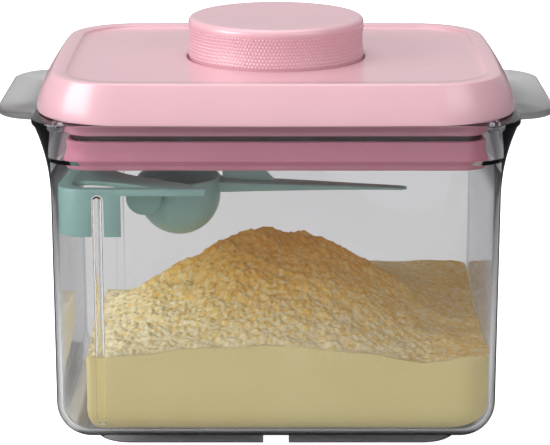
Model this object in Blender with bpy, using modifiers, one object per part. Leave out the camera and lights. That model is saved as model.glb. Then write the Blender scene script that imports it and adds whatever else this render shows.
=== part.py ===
"""Airtight powder keeper for baby formula: a clear tub with two grip ears, a push-button sealing
lid, a scoop and a leveller. Units are metres, +Z is up, the front faces -Y, and the origin is the
middle of the footprint on the surface that the tub stands on."""
import math

import bmesh
import bpy
from mathutils import Matrix, Vector

GAP = 0.0003                 # clearance between pieces that seat on each other

# Tub
BODY_WIDTH = 0.1536
BODY_DEPTH = 0.1120
BODY_CORNER = 0.0125         # outer radius of the upright corners
WALL = 0.0021
RIM_HEIGHT = 0.1182
BASE_FILLET = 0.0118
FOOT_HEIGHT = 0.0042
FOOT_INSET = 0.0130          # outer face of the foot ring, in from the wall
FOOT_WALL = 0.0020
FOOT_CORNER = 0.0120
FOOT_NOTCH = 0.0090
LEDGE = 0.0008               # step that widens the mouth above the sealing ledge
LEDGE_DROP = 0.0147          # ledge below the rim
FLARE = 0.0052               # the end walls lean out to the ears by this much
FLARE_HEIGHT = 0.0270
RIM_LIP = 0.0030
RIM_THICKNESS = 0.0022
EAR_REACH = 0.0197           # out from the end wall
EAR_ROOT_SHARE = 0.82        # the ear leaves the wall at this share of the flare
EAR_LENGTH = 0.0772          # along Y
EAR_CORNER = 0.0147
EAR_THICKNESS = 0.0028
EAR_BORDER = 0.0030
EAR_DISH = 0.0005
DISH_START = 0.0026          # dish out from the flared wall
RAIL_INSET = 0.0144          # upright rails that carry the leveller, from the left wall
RAIL_FOOT_SHARE = 0.62       # the rails start at this share of the base fillet
RAIL_WIDTH = 0.0032
RAIL_DEPTH = 0.0016
RAIL_DROP = 0.0252           # top of the rails below the rim

# Lid
LID_HEIGHT = 0.0135
LID_OVERHANG_X = 0.0052
LID_OVERHANG_Y = 0.0053
LID_CORNER = 0.0300
LID_TAPER_X = 0.0056
LID_TAPER_Y = 0.0029
LID_BOW = 0.0008             # the sides bulge in plan by this much
LID_BORDER = 0.0058          # raised border round the stacking recess
RECESS_DEPTH = 0.0012
COVER_WALL = 0.0020
SEAT_GAP = 0.0005
PLUG_CLEARANCE = 0.0019      # plug to mouth, each side
PLUG_CORNER = 0.0105
COLLAR_DROP = 0.0046         # collar below the tub's rim
COLLAR_WALL = 0.0018
PAN_FLANGE = 0.0016
PAN_WALL = 0.0015
PAN_DECK = 0.0018
GASKET_HEIGHT = 0.0074
GASKET_WIDTH = 0.0048
GASKET_INSET = 0.0010        # gasket to pan wall
CLAMP_THICKNESS = 0.0025
CLAMP_LIFT = 0.0024
DECK_GAP = 0.0004            # deck above the lifted clamp plate
SCREW_INSET_X = 0.0093       # screws in from the pan's walls
SCREW_INSET_Y = 0.0110
BOSS_RADIUS = 0.0036
CUP_RADIUS = 0.0052          # raised cup in the pan round each screw
CUP_HEIGHT = 0.0038
POCKET_DEPTH = 0.0017        # head pocket above the deck's top
PILOT_ROOF = 0.0025          # solid boss left above the screw
SCREW_RADIUS = 0.0012
SCREW_HEAD = 0.0028
HEAD_DEPTH = 0.0014

# Button and its works
BUTTON_RADIUS = 0.0311
BUTTON_SILL = 0.0026         # left above the recess, pressed down
BUTTON_TRAVEL = 0.0115
BUTTON_EDGE = 0.0016         # rounding of the top edge
BUTTON_WALL = 0.0016
BUTTON_TOP = 0.0020
BUTTON_GAP = 0.0007
BUTTON_FLANGE = 0.0015
STEM_RADIUS = 0.0100
STEM_FOOT_X = 0.0135
STEM_FOOT_Y = 0.0145
STEM_FOOT = 0.0018
BORE_RADIUS = 0.0072
BORE_TOP = 0.0040            # solid stem left above the spring
POST_RADIUS = 0.0030
POST_HEIGHT = 0.0160
SPRING_RADIUS = 0.0052
SPRING_WIRE = 0.0004
SPRING_TURNS = 6
SPRING_STEPS = 10            # points in each turn
LEVER_Y = 0.0110
LEVER_WIDTH = 0.0050
LEVER_THICKNESS = 0.0018
LEVER_ENGAGE = 0.0015        # lever tip in under the stem's foot
LEVER_HUB = 0.0024
LEVER_CLEARANCE = 0.00005    # pressed lever tip above the deck
PIVOT_GAP = 0.0040           # pivot out from the button's flange
PIN_RADIUS = 0.0010
CHEEK = 0.0014
CHEEK_LENGTH = 0.0044
CHEEK_GAP = 0.0004
HOOK_WIDTH = 0.0022
HOOK_REACH = 0.0020          # hook in over the lever's outer end
HOOK_THICKNESS = 0.0018
HOOK_GAP = 0.0006
FOLLOWER_Y = 0.0165
FOLLOWER_WIRE = 0.0006
FOLLOWER_OFFSET = 0.0024     # tip of the follower beside the cam's middle
FOLLOWER_PIVOT = 0.0022      # above the pan's deck
FOLLOWER_RISE = 0.0024       # tip above the stem's foot
GROOVE_HALF = 0.0035
CAM_HALF = 0.0055
CAM_FACE = 0.0135
GROOVE_DEPTH = 0.0014
GROOVE_END = 0.0012          # groove past the follower at both ends
CAM_MARGIN = 0.0018          # cam face past the follower at its top

# Scoop
BOWL_INSET_X = 0.0407        # bowl's middle in from the left wall
BOWL_INSET_Y = 0.0319        # and from the front wall
BOWL_RADIUS = 0.0145
BOWL_STRAIGHT = 0.0065
BOWL_WALL = 0.0012
SCOOP_DROP = 0.0087          # bowl rim below the clamp plate
HANDLE_REACH = 0.0800        # bowl's middle to the tip
HANDLE_ROOT_WIDTH = 0.0100
HANDLE_TIP_WIDTH = 0.0036
HANDLE_ROOT_THICKNESS = 0.0026
HANDLE_TIP_THICKNESS = 0.0010
HANDLE_FALL = 0.0022
FIN_LENGTH = 0.0200
FIN_THICKNESS = 0.0024
FIN_DROP = 0.0030            # fin's top below the clamp plate
CLIP_START = 0.0022          # clip beside and above the bowl's rim
CLIP_LENGTH = 0.0100
CLIP_WALL = 0.0016

# Leveller
LEVELLER_DROP = 0.0059       # its top below the clamp plate
LEVELLER_GAP = 0.0004        # to the tub's walls
LEVELLER_SKIRT = 0.0018
SKIRT_HEIGHT = 0.0167
STRIP_HEIGHT = 0.0024
PLATE_THICKNESS = 0.0016
SKIRT_LENGTH = 0.0218        # from the leveller's left end
STRIP_LENGTH = 0.0503
STRIP_WIDTH = 0.0026
SLOT_GAP = 0.0005            # slot to rail, each side
FINGER_INSET = 0.0288        # fingers in from the left end
FINGER_GAP = 0.0004          # finger's middle outside the scoop bowl
FINGER_THICKNESS = 0.0016
FINGER_RADIUS = 0.0061
FINGER_DROP = 0.0072

# Powder
POWDER_DEPTH = 0.0272        # against the walls, above the floor
POWDER_PEAK_DROP = 0.0240    # peak below the scoop's rim
POWDER_GAP = 0.0005          # to the walls
POWDER_PEAK_X = -0.0035

CORNER_STEPS = 6
SIDE_STEPS = 4

# Sizes worked out from the ones above
body_x = BODY_WIDTH / 2
body_y = BODY_DEPTH / 2
cavity_x = body_x - WALL
cavity_y = body_y - WALL
cavity_corner = BODY_CORNER - WALL
floor_z = FOOT_HEIGHT + WALL
ledge_z = RIM_HEIGHT - LEDGE_DROP
rail_top = RIM_HEIGHT - RAIL_DROP
rail_x = RAIL_INSET - cavity_x
ear_x = body_x + EAR_REACH

lid_z = RIM_HEIGHT + SEAT_GAP
lid_top = lid_z + LID_HEIGHT
recess_z = lid_top - RECESS_DEPTH
cover_under = recess_z - COVER_WALL
lid_x = body_x + LID_OVERHANG_X
lid_y = body_y + LID_OVERHANG_Y

plug_x = cavity_x + LEDGE - PLUG_CLEARANCE
plug_y = cavity_y + LEDGE - PLUG_CLEARANCE
collar_z = RIM_HEIGHT - COLLAR_DROP
pan_top = collar_z - GAP
pan_flange_z = pan_top - PAN_FLANGE
gasket_top = pan_flange_z - GAP
gasket_z = gasket_top - GASKET_HEIGHT
clamp_top = gasket_z - GAP
clamp_z = clamp_top - CLAMP_THICKNESS
deck_z = clamp_top + CLAMP_LIFT + DECK_GAP
deck_top = deck_z + PAN_DECK
pan_x = plug_x - GASKET_WIDTH - GASKET_INSET
pan_y = plug_y - GASKET_WIDTH - GASKET_INSET
screw_x = pan_x - SCREW_INSET_X
screw_y = pan_y - SCREW_INSET_Y

button_top = recess_z + BUTTON_TRAVEL + BUTTON_SILL
hole_radius = BUTTON_RADIUS + BUTTON_GAP
flange_top = cover_under - GAP
flange_radius = hole_radius + BUTTON_FLANGE
pivot_x = flange_radius + PIVOT_GAP
pivot_z = deck_top + BUTTON_TRAVEL / 2 + LEVER_THICKNESS / 2 + LEVER_CLEARANCE
lever_inner = pivot_x - STEM_FOOT_X + LEVER_ENGAGE
lever_outer = CLAMP_LIFT * lever_inner / BUTTON_TRAVEL
lever_tilt = math.asin(BUTTON_TRAVEL / 2 / lever_inner)
stem_foot_z = pivot_z + BUTTON_TRAVEL / 2 + LEVER_THICKNESS / 2 + GAP
stem_top = button_top - BUTTON_TOP - GAP
bore_top = stem_top - BORE_TOP
follower_pivot_z = deck_top + FOLLOWER_PIVOT
follower_tip_z = stem_foot_z + STEM_FOOT + FOLLOWER_RISE
hook_z = pivot_z + 0.0004

bowl_rim = clamp_z - SCOOP_DROP
bowl_centre = bowl_rim - BOWL_STRAIGHT
bowl_x = BOWL_INSET_X - cavity_x
bowl_y = BOWL_INSET_Y - cavity_y
handle_tip_x = bowl_x + HANDLE_REACH
leveller_top = clamp_z - LEVELLER_DROP
powder_edge = floor_z + POWDER_DEPTH
powder_peak = bowl_rim - POWDER_PEAK_DROP

for old in list(bpy.data.objects):
    bpy.data.objects.remove(old, do_unlink=True)


def new_collection(name):
    collection = bpy.data.collections.new(name)
    bpy.context.scene.collection.children.link(collection)
    return collection


PARTS = new_collection("formula_keeper")
CUTTERS = new_collection("cutters")


def new_material(name, colour, roughness, metallic=0.0, alpha=1.0):
    material = bpy.data.materials.new(name)
    material.use_nodes = True
    shader = material.node_tree.nodes["Principled BSDF"]
    shader.inputs["Base Color"].default_value = (*colour, 1.0)
    shader.inputs["Roughness"].default_value = roughness
    shader.inputs["Metallic"].default_value = metallic
    shader.inputs["Alpha"].default_value = alpha
    return material


CLEAR = new_material("clear_plastic", (0.62, 0.62, 0.64), 0.05, alpha=0.3)
PINK = new_material("pink_plastic", (0.80, 0.48, 0.54), 0.30)
ROSE = new_material("rose_plastic", (0.62, 0.28, 0.36), 0.35)
SILICONE = new_material("silicone", (0.80, 0.60, 0.66), 0.45)
WHITE = new_material("white_plastic", (0.80, 0.80, 0.80), 0.35)
GREEN = new_material("green_plastic", (0.30, 0.46, 0.42), 0.35)
STEEL = new_material("steel", (0.60, 0.60, 0.62), 0.25, metallic=1.0)
POWDER = new_material("powder", (0.80, 0.68, 0.38), 0.90)


def place(obj, name, material, origin=(0.0, 0.0, 0.0), cutter=False):
    """Name an object built in world coordinates, move its origin and file it."""
    obj.name = name
    obj.data.name = name
    for collection in list(obj.users_collection):
        collection.objects.unlink(obj)
    (CUTTERS if cutter else PARTS).objects.link(obj)
    if cutter:
        obj.hide_render = True
        obj.display_type = "WIRE"
    if material:
        obj.data.materials.append(material)
    origin = Vector(origin)
    obj.data.transform(Matrix.Translation(-origin))
    obj.location = origin
    return obj


def from_bmesh(bm):
    bmesh.ops.recalc_face_normals(bm, faces=bm.faces)
    mesh = bpy.data.meshes.new("shape")
    bm.to_mesh(mesh)
    bm.free()
    obj = bpy.data.objects.new("shape", mesh)
    bpy.context.scene.collection.objects.link(obj)
    return obj


def rounded_outline(half_x, half_y, radius, bow=0.0, side_steps=1):
    """Counter-clockwise outline of a rounded rectangle whose sides bulge outwards by bow."""
    points = []
    corners = ((1, 1, 0.0), (-1, 1, 90.0), (-1, -1, 180.0), (1, -1, 270.0))
    for index, (side_x, side_y, start) in enumerate(corners):
        centre = Vector((side_x * (half_x - radius), side_y * (half_y - radius)))
        for step in range(CORNER_STEPS + 1):
            angle = math.radians(start + 90.0 * step / CORNER_STEPS)
            points.append(centre + radius * Vector((math.cos(angle), math.sin(angle))))
        next_x, next_y, next_start = corners[(index + 1) % 4]
        angle = math.radians(next_start)
        goal = Vector((next_x * (half_x - radius), next_y * (half_y - radius)))
        goal += radius * Vector((math.cos(angle), math.sin(angle)))
        begin = points[-1].copy()
        normal = Vector((math.cos(angle), math.sin(angle)))
        for step in range(1, side_steps):
            share = step / side_steps
            points.append(begin.lerp(goal, share) + normal * bow * math.sin(math.pi * share))
    return points


def loft(rings):
    """Closed solid through rounded-rectangle sections given as (half_x, half_y, radius, z, bow)."""
    bm = bmesh.new()
    loops = []
    side_steps = SIDE_STEPS if len(rings[0]) > 4 else 1
    for half_x, half_y, radius, height, *bow in rings:
        outline = rounded_outline(half_x, half_y, radius, bow[0] if bow else 0.0, side_steps)
        loops.append([bm.verts.new((point.x, point.y, height)) for point in outline])
    for low, high in zip(loops, loops[1:]):
        for index in range(len(low)):
            following = (index + 1) % len(low)
            bm.faces.new((low[index], low[following], high[following], high[index]))
    bm.faces.new(loops[0])
    bm.faces.new(loops[-1])
    return from_bmesh(bm)


def box(low, high):
    low, high = Vector(low), Vector(high)
    bm = bmesh.new()
    bmesh.ops.create_cube(bm, size=1.0)
    size = high - low
    bmesh.ops.scale(bm, vec=size, verts=bm.verts)
    bmesh.ops.translate(bm, vec=(low + high) / 2, verts=bm.verts)
    return from_bmesh(bm)


def cylinder(centre, radius, low, high, axis="Z", sides=16):
    """Cylinder along an axis through centre; low and high are its ends along that axis."""
    bm = bmesh.new()
    bmesh.ops.create_cone(bm, cap_ends=True, segments=sides, radius1=radius, radius2=radius,
                          depth=high - low)
    bmesh.ops.translate(bm, vec=(0, 0, (low + high) / 2), verts=bm.verts)
    if axis == "Y":
        bmesh.ops.rotate(bm, matrix=Matrix.Rotation(-math.pi / 2, 3, "X"), verts=bm.verts)
        bmesh.ops.translate(bm, vec=(centre[0], 0, centre[1]), verts=bm.verts)
    else:
        bmesh.ops.translate(bm, vec=(centre[0], centre[1], 0), verts=bm.verts)
    return from_bmesh(bm)


def prism(outline, low, high, upright=False):
    """Flat outline made thick: in XY from z low to high, or upright in XZ from y low to high."""
    curve = bpy.data.curves.new("outline", "CURVE")
    curve.dimensions = "2D"
    curve.fill_mode = "BOTH"
    curve.extrude = (high - low) / 2
    spline = curve.splines.new("POLY")
    spline.points.add(len(outline) - 1)
    for point, (first, second) in zip(spline.points, outline):
        point.co = (first, second, 0.0, 1.0)
    spline.use_cyclic_u = True
    obj = bpy.data.objects.new("outline", curve)
    bpy.context.scene.collection.objects.link(obj)
    bpy.context.view_layer.update()
    mesh = bpy.data.meshes.new_from_object(obj.evaluated_get(bpy.context.evaluated_depsgraph_get()))
    bpy.data.objects.remove(obj, do_unlink=True)
    middle = (low + high) / 2
    if upright:
        mesh.transform(Matrix.Translation((0, middle, 0)) @ Matrix.Rotation(math.pi / 2, 4, "X"))
    else:
        mesh.transform(Matrix.Translation((0, 0, middle)))
    bm = bmesh.new()
    bm.from_mesh(mesh)
    bmesh.ops.remove_doubles(bm, verts=bm.verts, dist=0.000001)
    return from_bmesh(bm)


def turned(profile, centre, sides=48):
    """Round piece: the profile (radius, z) runs from the top of the axis down to its bottom."""
    mesh = bpy.data.meshes.new("profile")
    points = [(radius, 0.0, height) for radius, height in profile]
    mesh.from_pydata(points, [(i, i + 1) for i in range(len(points) - 1)], [])
    obj = bpy.data.objects.new("profile", mesh)
    bpy.context.scene.collection.objects.link(obj)
    screw = obj.modifiers.new("turn", "SCREW")
    screw.steps = sides
    screw.render_steps = sides
    screw.use_merge_vertices = True
    screw.merge_threshold = 0.00001
    bpy.context.view_layer.update()
    turned_mesh = bpy.data.meshes.new_from_object(
        obj.evaluated_get(bpy.context.evaluated_depsgraph_get()))
    bpy.data.objects.remove(obj, do_unlink=True)
    turned_mesh.transform(Matrix.Translation((centre[0], centre[1], 0.0)))
    bm = bmesh.new()
    bm.from_mesh(turned_mesh)
    bmesh.ops.remove_doubles(bm, verts=bm.verts, dist=0.000001)
    return from_bmesh(bm)


def wire(points, radius):
    """Round wire along a run of points, as a closed mesh."""
    curve = bpy.data.curves.new("wire", "CURVE")
    curve.dimensions = "3D"
    curve.bevel_depth = radius
    curve.bevel_resolution = 2
    curve.use_fill_caps = True
    spline = curve.splines.new("POLY")
    spline.points.add(len(points) - 1)
    for point, place_at in zip(spline.points, points):
        point.co = (*place_at, 1.0)
    obj = bpy.data.objects.new("wire", curve)
    bpy.context.scene.collection.objects.link(obj)
    bpy.context.view_layer.update()
    mesh = bpy.data.meshes.new_from_object(obj.evaluated_get(bpy.context.evaluated_depsgraph_get()))
    bpy.data.objects.remove(obj, do_unlink=True)
    bm = bmesh.new()
    bm.from_mesh(mesh)
    bmesh.ops.remove_doubles(bm, verts=bm.verts, dist=0.000001)
    return from_bmesh(bm)


def combine(target, shape, operation, label):
    """Join a shape to a piece, or cut it away; the shape stays as a hidden tool object."""
    place(shape, f"{target.name}_{label}", None, cutter=True)
    modifier = target.modifiers.new(label, "BOOLEAN")
    modifier.operation = operation
    modifier.solver = "EXACT"
    modifier.object = shape


def join(target, shape, label):
    combine(target, shape, "UNION", label)


def cut(target, shape, label):
    combine(target, shape, "DIFFERENCE", label)


def smooth(obj, degrees=35.0):
    obj.data.shade_smooth()
    obj.data.set_sharp_from_angle(angle=math.radians(degrees))


def fillet_rings(half_x, half_y, corner, base_z, fillet, steps=5):
    """Sections of a bottom edge rounded with a radius, from the flat underside up to the wall."""
    rings = []
    for step in range(steps + 1):
        angle = math.pi / 2 * step / steps
        inset = fillet * (1 - math.sin(angle))
        height = base_z + fillet * (1 - math.cos(angle))
        rings.append((half_x - inset, half_y - inset, max(corner - inset, 0.0006), height))
    return rings


def tub_outer_rings():
    rings = fillet_rings(body_x, body_y, BODY_CORNER, FOOT_HEIGHT, BASE_FILLET)
    lip_z = RIM_HEIGHT - RIM_THICKNESS
    flare_start = lip_z - FLARE_HEIGHT
    for step in range(6):
        share = step / 5
        lean = FLARE * share ** 2.2
        height = flare_start + (FLARE_HEIGHT - 0.0004) * share
        rings.append((body_x + lean, body_y, BODY_CORNER, height))
    lip_x = body_x + FLARE + 0.0008
    lip_y = body_y + RIM_LIP
    lip_corner = BODY_CORNER + RIM_LIP
    rings.append((lip_x - 0.0002, lip_y - 0.0004, lip_corner - 0.0002, lip_z))
    rings.append((lip_x, lip_y, lip_corner, lip_z + 0.0005))
    rings.append((lip_x, lip_y, lip_corner, RIM_HEIGHT - 0.0004))
    rings.append((lip_x - 0.0004, lip_y - 0.0004, lip_corner - 0.0004, RIM_HEIGHT))
    return rings


def cavity_rings():
    fillet = BASE_FILLET - WALL
    rings = fillet_rings(cavity_x, cavity_y, cavity_corner, floor_z, fillet)
    mouth = (cavity_x + LEDGE, cavity_y + LEDGE, cavity_corner + LEDGE)
    rings.append((cavity_x, cavity_y, cavity_corner, ledge_z))
    rings.append((*mouth, ledge_z + LEDGE))
    rings.append((*mouth, RIM_HEIGHT + 0.002))
    return rings


def ear_rings():
    """Both ears as one slab with a rolled edge and a hollow fillet into the end walls."""
    half_x, half_y = ear_x, EAR_LENGTH / 2
    under = RIM_HEIGHT - EAR_THICKNESS
    root = body_x + FLARE * EAR_ROOT_SHARE
    profile = ((root - half_x, -0.0034), (root + 0.0015 - half_x, -0.0016),
               (root + 0.0042 - half_x, -0.0006), (-0.0070, -0.0001), (-0.0016, 0.0),
               (-0.0003, 0.0008), (0.0, 0.0014), (-0.0003, EAR_THICKNESS - 0.0006),
               (-0.0009, EAR_THICKNESS))
    rings = []
    for inset, rise in profile:
        narrow = max(inset, -0.008)
        rings.append((half_x + inset, half_y + narrow, EAR_CORNER + 0.5 * narrow, under + rise))
    return rings


def build_tub():
    tub = place(loft(tub_outer_rings()), "container_body", CLEAR)
    join(tub, loft(ear_rings()), "ears")
    foot_x, foot_y = body_x - FOOT_INSET, body_y - FOOT_INSET
    foot = place(loft([(foot_x, foot_y, FOOT_CORNER, 0.0), (foot_x, foot_y, FOOT_CORNER, 0.0052)]),
                 "foot_ring", None, cutter=True)
    inner = FOOT_CORNER - FOOT_WALL
    cut(foot, loft([(foot_x - FOOT_WALL, foot_y - FOOT_WALL, inner, -0.002),
                    (foot_x - FOOT_WALL, foot_y - FOOT_WALL, inner, FOOT_HEIGHT + 0.0002)]), "inside")
    cut(foot, box((-FOOT_NOTCH / 2, -body_y, -0.001), (FOOT_NOTCH / 2, body_y, FOOT_HEIGHT * 0.9)),
        "notch")
    foot_union = tub.modifiers.new("foot", "BOOLEAN")
    foot_union.operation = "UNION"
    foot_union.solver = "EXACT"
    foot_union.object = foot
    cut(tub, loft(cavity_rings()), "cavity")
    dish_x = ear_x - EAR_BORDER
    dish_start = body_x + FLARE + DISH_START
    for side, label in ((-1, "left"), (1, "right")):
        ends = sorted((side * dish_start, side * dish_x))
        dish = box((ends[0], -EAR_LENGTH / 2 + EAR_BORDER, RIM_HEIGHT - EAR_DISH),
                   (ends[1], EAR_LENGTH / 2 - EAR_BORDER, RIM_HEIGHT + 0.001))
        bevel_upright(dish, EAR_CORNER - EAR_BORDER, side)
        cut(tub, dish, f"dish_{label}")
    for side, label in ((-1, "front"), (1, "rear")):
        face = side * (cavity_y - RAIL_DEPTH)
        ends = sorted((face, side * (cavity_y + WALL / 2)))
        rail = box((rail_x - RAIL_WIDTH / 2, ends[0], FOOT_HEIGHT + RAIL_FOOT_SHARE * BASE_FILLET),
                   (rail_x + RAIL_WIDTH / 2, ends[1], rail_top))
        round_edges(rail, RAIL_WIDTH * 0.48, lambda a, b: abs(a.z - rail_top) < 1e-5
                    and abs(b.z - rail_top) < 1e-5 and abs(a.x - b.x) < 1e-5, 4)
        join(tub, rail, f"rail_{label}")
    smooth(tub)


def round_edges(obj, radius, chosen, segments):
    """Round the edges whose two ends satisfy a test."""
    bm = bmesh.new()
    bm.from_mesh(obj.data)
    edges = [edge for edge in bm.edges if chosen(edge.verts[0].co, edge.verts[1].co)]
    bmesh.ops.bevel(bm, geom=edges, offset=radius, segments=segments, profile=0.5,
                    affect="EDGES", clamp_overlap=True)
    bm.to_mesh(obj.data)
    bm.free()


def bevel_upright(obj, radius, side):
    """Round the two upright edges on the outer end of a box."""
    outer = max(vertex.co.x * side for vertex in obj.data.vertices)
    round_edges(obj, radius, lambda a, b: abs(a.x - b.x) < 1e-6 and abs(a.y - b.y) < 1e-6
                and a.x * side > outer - 1e-6, 6)


def lid_rings():
    """Skirt, raised border and recess of the cover, from its lower edge up."""
    def ring(share, inset, height, bow):
        return (lid_x - LID_TAPER_X * share - inset, lid_y - LID_TAPER_Y * share - inset,
                LID_CORNER - 0.0065 * share - 0.8 * inset, height, LID_BOW * bow)
    border_z = recess_z + 0.0004
    return [ring(0.0, 0.0003, lid_z, 1.0),
            ring(0.0, 0.0, lid_z + 0.0006, 1.0),
            ring(0.08, 0.0, lid_z + LID_HEIGHT * 0.28, 1.0),
            ring(0.34, 0.0, lid_z + LID_HEIGHT * 0.58, 0.9),
            ring(0.78, 0.0, lid_z + LID_HEIGHT * 0.87, 0.8),
            ring(0.96, 0.0, lid_top - 0.0006, 0.7),
            ring(1.0, 0.0007, lid_top, 0.6),
            ring(1.0, 0.0020, lid_top, 0.6),
            ring(1.0, LID_BORDER - 0.0014, border_z, 0.5),
            ring(1.0, LID_BORDER, recess_z, 0.5)]


def cover_cavity_rings():
    low = COVER_WALL
    return [(lid_x - low, lid_y - low, LID_CORNER - low, lid_z - 0.001, LID_BOW),
            (lid_x - low - 0.0004, lid_y - low, LID_CORNER - low, lid_z + LID_HEIGHT * 0.28, LID_BOW),
            (lid_x - 0.34 * LID_TAPER_X - low - 0.0006, lid_y - 0.34 * LID_TAPER_Y - low,
             LID_CORNER - low - 0.0022, lid_z + LID_HEIGHT * 0.55, LID_BOW),
            (lid_x - 0.8 * LID_TAPER_X - low - 0.001, lid_y - 0.8 * LID_TAPER_Y - low - 0.001,
             LID_CORNER - low - 0.0052, cover_under, 0.0)]


def tube(half_x, half_y, corner, wall, low, high):
    """Rounded-rectangle tube as a loft with a matching cut."""
    outer = place(loft([(half_x, half_y, corner, low), (half_x, half_y, corner, high)]),
                  "tube", None, cutter=True)
    cut(outer, loft([(half_x - wall, half_y - wall, corner - wall, low - 0.001),
                     (half_x - wall, half_y - wall, corner - wall, high + 0.001)]), "bore")
    return outer


def join_tool(target, tool, label):
    """Join a tool object that already has cuts of its own."""
    tool.name = f"{target.name}_{label}"
    modifier = target.modifiers.new(label, "BOOLEAN")
    modifier.operation = "UNION"
    modifier.solver = "EXACT"
    modifier.object = tool


def screw_places():
    return [(side_x * screw_x, side_y * screw_y, f"{name_x}_{name_y}")
            for side_x, name_x in ((-1, "left"), (1, "right"))
            for side_y, name_y in ((-1, "front"), (1, "rear"))]


def build_cover():
    cover = place(loft(lid_rings()), "lid_cover", PINK)
    cut(cover, loft(cover_cavity_rings()), "inside")
    join_tool(cover, tube(plug_x, plug_y, PLUG_CORNER, COLLAR_WALL, collar_z, cover_under + 0.0008),
              "collar")
    boss_z = deck_top + CUP_HEIGHT + GAP
    for x, y, label in screw_places():
        join(cover, cylinder((x, y), BOSS_RADIUS, boss_z, cover_under + 0.0008), f"boss_{label}")
        cut(cover, cylinder((x, y), SCREW_RADIUS + GAP, boss_z - 0.001, cover_under - PILOT_ROOF),
            f"pilot_{label}")
    cut(cover, cylinder((0, 0), hole_radius, cover_under - 0.002, lid_top + 0.002, sides=56), "hole")
    smooth(cover)


def lever_places():
    return [(side_x, side_y * LEVER_Y, f"{name_x}_{name_y}")
            for side_x, name_x in ((-1, "left"), (1, "right"))
            for side_y, name_y in ((-1, "front"), (1, "rear"))]


def build_pan():
    """Inner pan of the lid: a deck for the works, walls inside the gasket and a flange above it."""
    flange_x, flange_y = plug_x - 0.0022, plug_y - 0.0022
    corner = PLUG_CORNER - GASKET_WIDTH
    pan = place(loft([(pan_x, pan_y, corner, deck_z), (pan_x, pan_y, corner, pan_flange_z),
                      (flange_x, flange_y, PLUG_CORNER - 0.0022, pan_flange_z + 0.00001),
                      (flange_x, flange_y, PLUG_CORNER - 0.0022, pan_top)]), "lid_pan", ROSE)
    cut(pan, loft([(pan_x - PAN_WALL, pan_y - PAN_WALL, corner - PAN_WALL, deck_top),
                   (pan_x - PAN_WALL, pan_y - PAN_WALL, corner - PAN_WALL, pan_top + 0.001)]), "tray")
    join(pan, cylinder((0, 0), POST_RADIUS, deck_top - 0.0005, deck_top + POST_HEIGHT), "post")
    cup_top = deck_top + CUP_HEIGHT
    pocket_top = deck_top + POCKET_DEPTH
    for x, y, label in screw_places():
        join(pan, cylinder((x, y), CUP_RADIUS, deck_top - 0.0005, cup_top), f"cup_{label}")
        cut(pan, cylinder((x, y), SCREW_HEAD + 0.0006, deck_z - 0.001, pocket_top), f"pocket_{label}")
        cut(pan, cylinder((x, y), SCREW_RADIUS + 0.0006, pocket_top - 0.001, cup_top + 0.001),
            f"clear_{label}")
    half = LEVER_WIDTH / 2 + CHEEK_GAP
    for side, y, label in lever_places():
        x = side * pivot_x
        for cheek_side, cheek_label in ((-1, "a"), (1, "b")):
            faces = sorted((y + cheek_side * half, y + cheek_side * (half + CHEEK)))
            join(pan, box((x - CHEEK_LENGTH / 2, faces[0], deck_top - 0.0005),
                          (x + CHEEK_LENGTH / 2, faces[1], pivot_z + 0.0020)),
                 f"cheek_{label}_{cheek_label}")
        cut(pan, cylinder((x, pivot_z), PIN_RADIUS + GAP, y - half - CHEEK - 0.0004,
                          y + half + CHEEK + 0.0004, axis="Y", sides=16), f"pin_hole_{label}")
        slot = sorted((side * (pivot_x + CHEEK_LENGTH / 2 + 0.0012),
                       side * (pivot_x + lever_outer + HOOK_GAP + HOOK_WIDTH + 0.0012)))
        cut(pan, box((slot[0], y - half - 0.0003, deck_z - 0.001),
                     (slot[1], y + half + 0.0003, deck_top + 0.001)), f"slot_{label}")
    ear_y = FOLLOWER_Y + 0.0014
    join(pan, box((-0.0026, ear_y, deck_top - 0.0005), (0.0026, ear_y + 0.0022, follower_pivot_z + 0.0022)),
         "follower_ear")
    cut(pan, cylinder((0, follower_pivot_z), FOLLOWER_WIRE + GAP, ear_y - 0.001, ear_y + 0.0032,
                      axis="Y", sides=16), "follower_hole")
    smooth(pan)


def build_screws():
    head_top = deck_top + POCKET_DEPTH - GAP
    tip = cover_under - PILOT_ROOF - 2 * GAP
    for x, y, label in screw_places():
        profile = [(0.0, tip), (SCREW_RADIUS * 0.5, tip), (SCREW_RADIUS, tip - 0.0012),
                   (SCREW_RADIUS, head_top), (SCREW_HEAD, head_top),
                   (SCREW_HEAD, head_top - HEAD_DEPTH * 0.6), (SCREW_HEAD * 0.75, head_top - HEAD_DEPTH),
                   (0.0, head_top - HEAD_DEPTH)]
        screw = place(turned(profile, (x, y), sides=16), f"lid_screw_{label}", STEEL)
        slot_low = head_top - HEAD_DEPTH - 0.001
        slot_high = head_top - HEAD_DEPTH + 0.0006
        cut(screw, box((x - 0.0017, y - 0.0003, slot_low), (x + 0.0017, y + 0.0003, slot_high)), "slot_x")
        cut(screw, box((x - 0.0003, y - 0.0017, slot_low), (x + 0.0003, y + 0.0017, slot_high)), "slot_y")
        smooth(screw)


def build_gasket():
    gasket = place(loft([(plug_x - 0.0004, plug_y - 0.0004, PLUG_CORNER, gasket_z),
                         (plug_x, plug_y, PLUG_CORNER, gasket_z + 0.0006),
                         (plug_x, plug_y, PLUG_CORNER, gasket_top - 0.0006),
                         (plug_x - 0.0004, plug_y - 0.0004, PLUG_CORNER, gasket_top)]),
                   "gasket", SILICONE)
    inner = PLUG_CORNER - GASKET_WIDTH
    cut(gasket, loft([(plug_x - GASKET_WIDTH, plug_y - GASKET_WIDTH, inner, gasket_z - 0.001),
                      (plug_x - GASKET_WIDTH, plug_y - GASKET_WIDTH, inner, gasket_top + 0.001)]),
        "bore")
    smooth(gasket)


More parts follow.
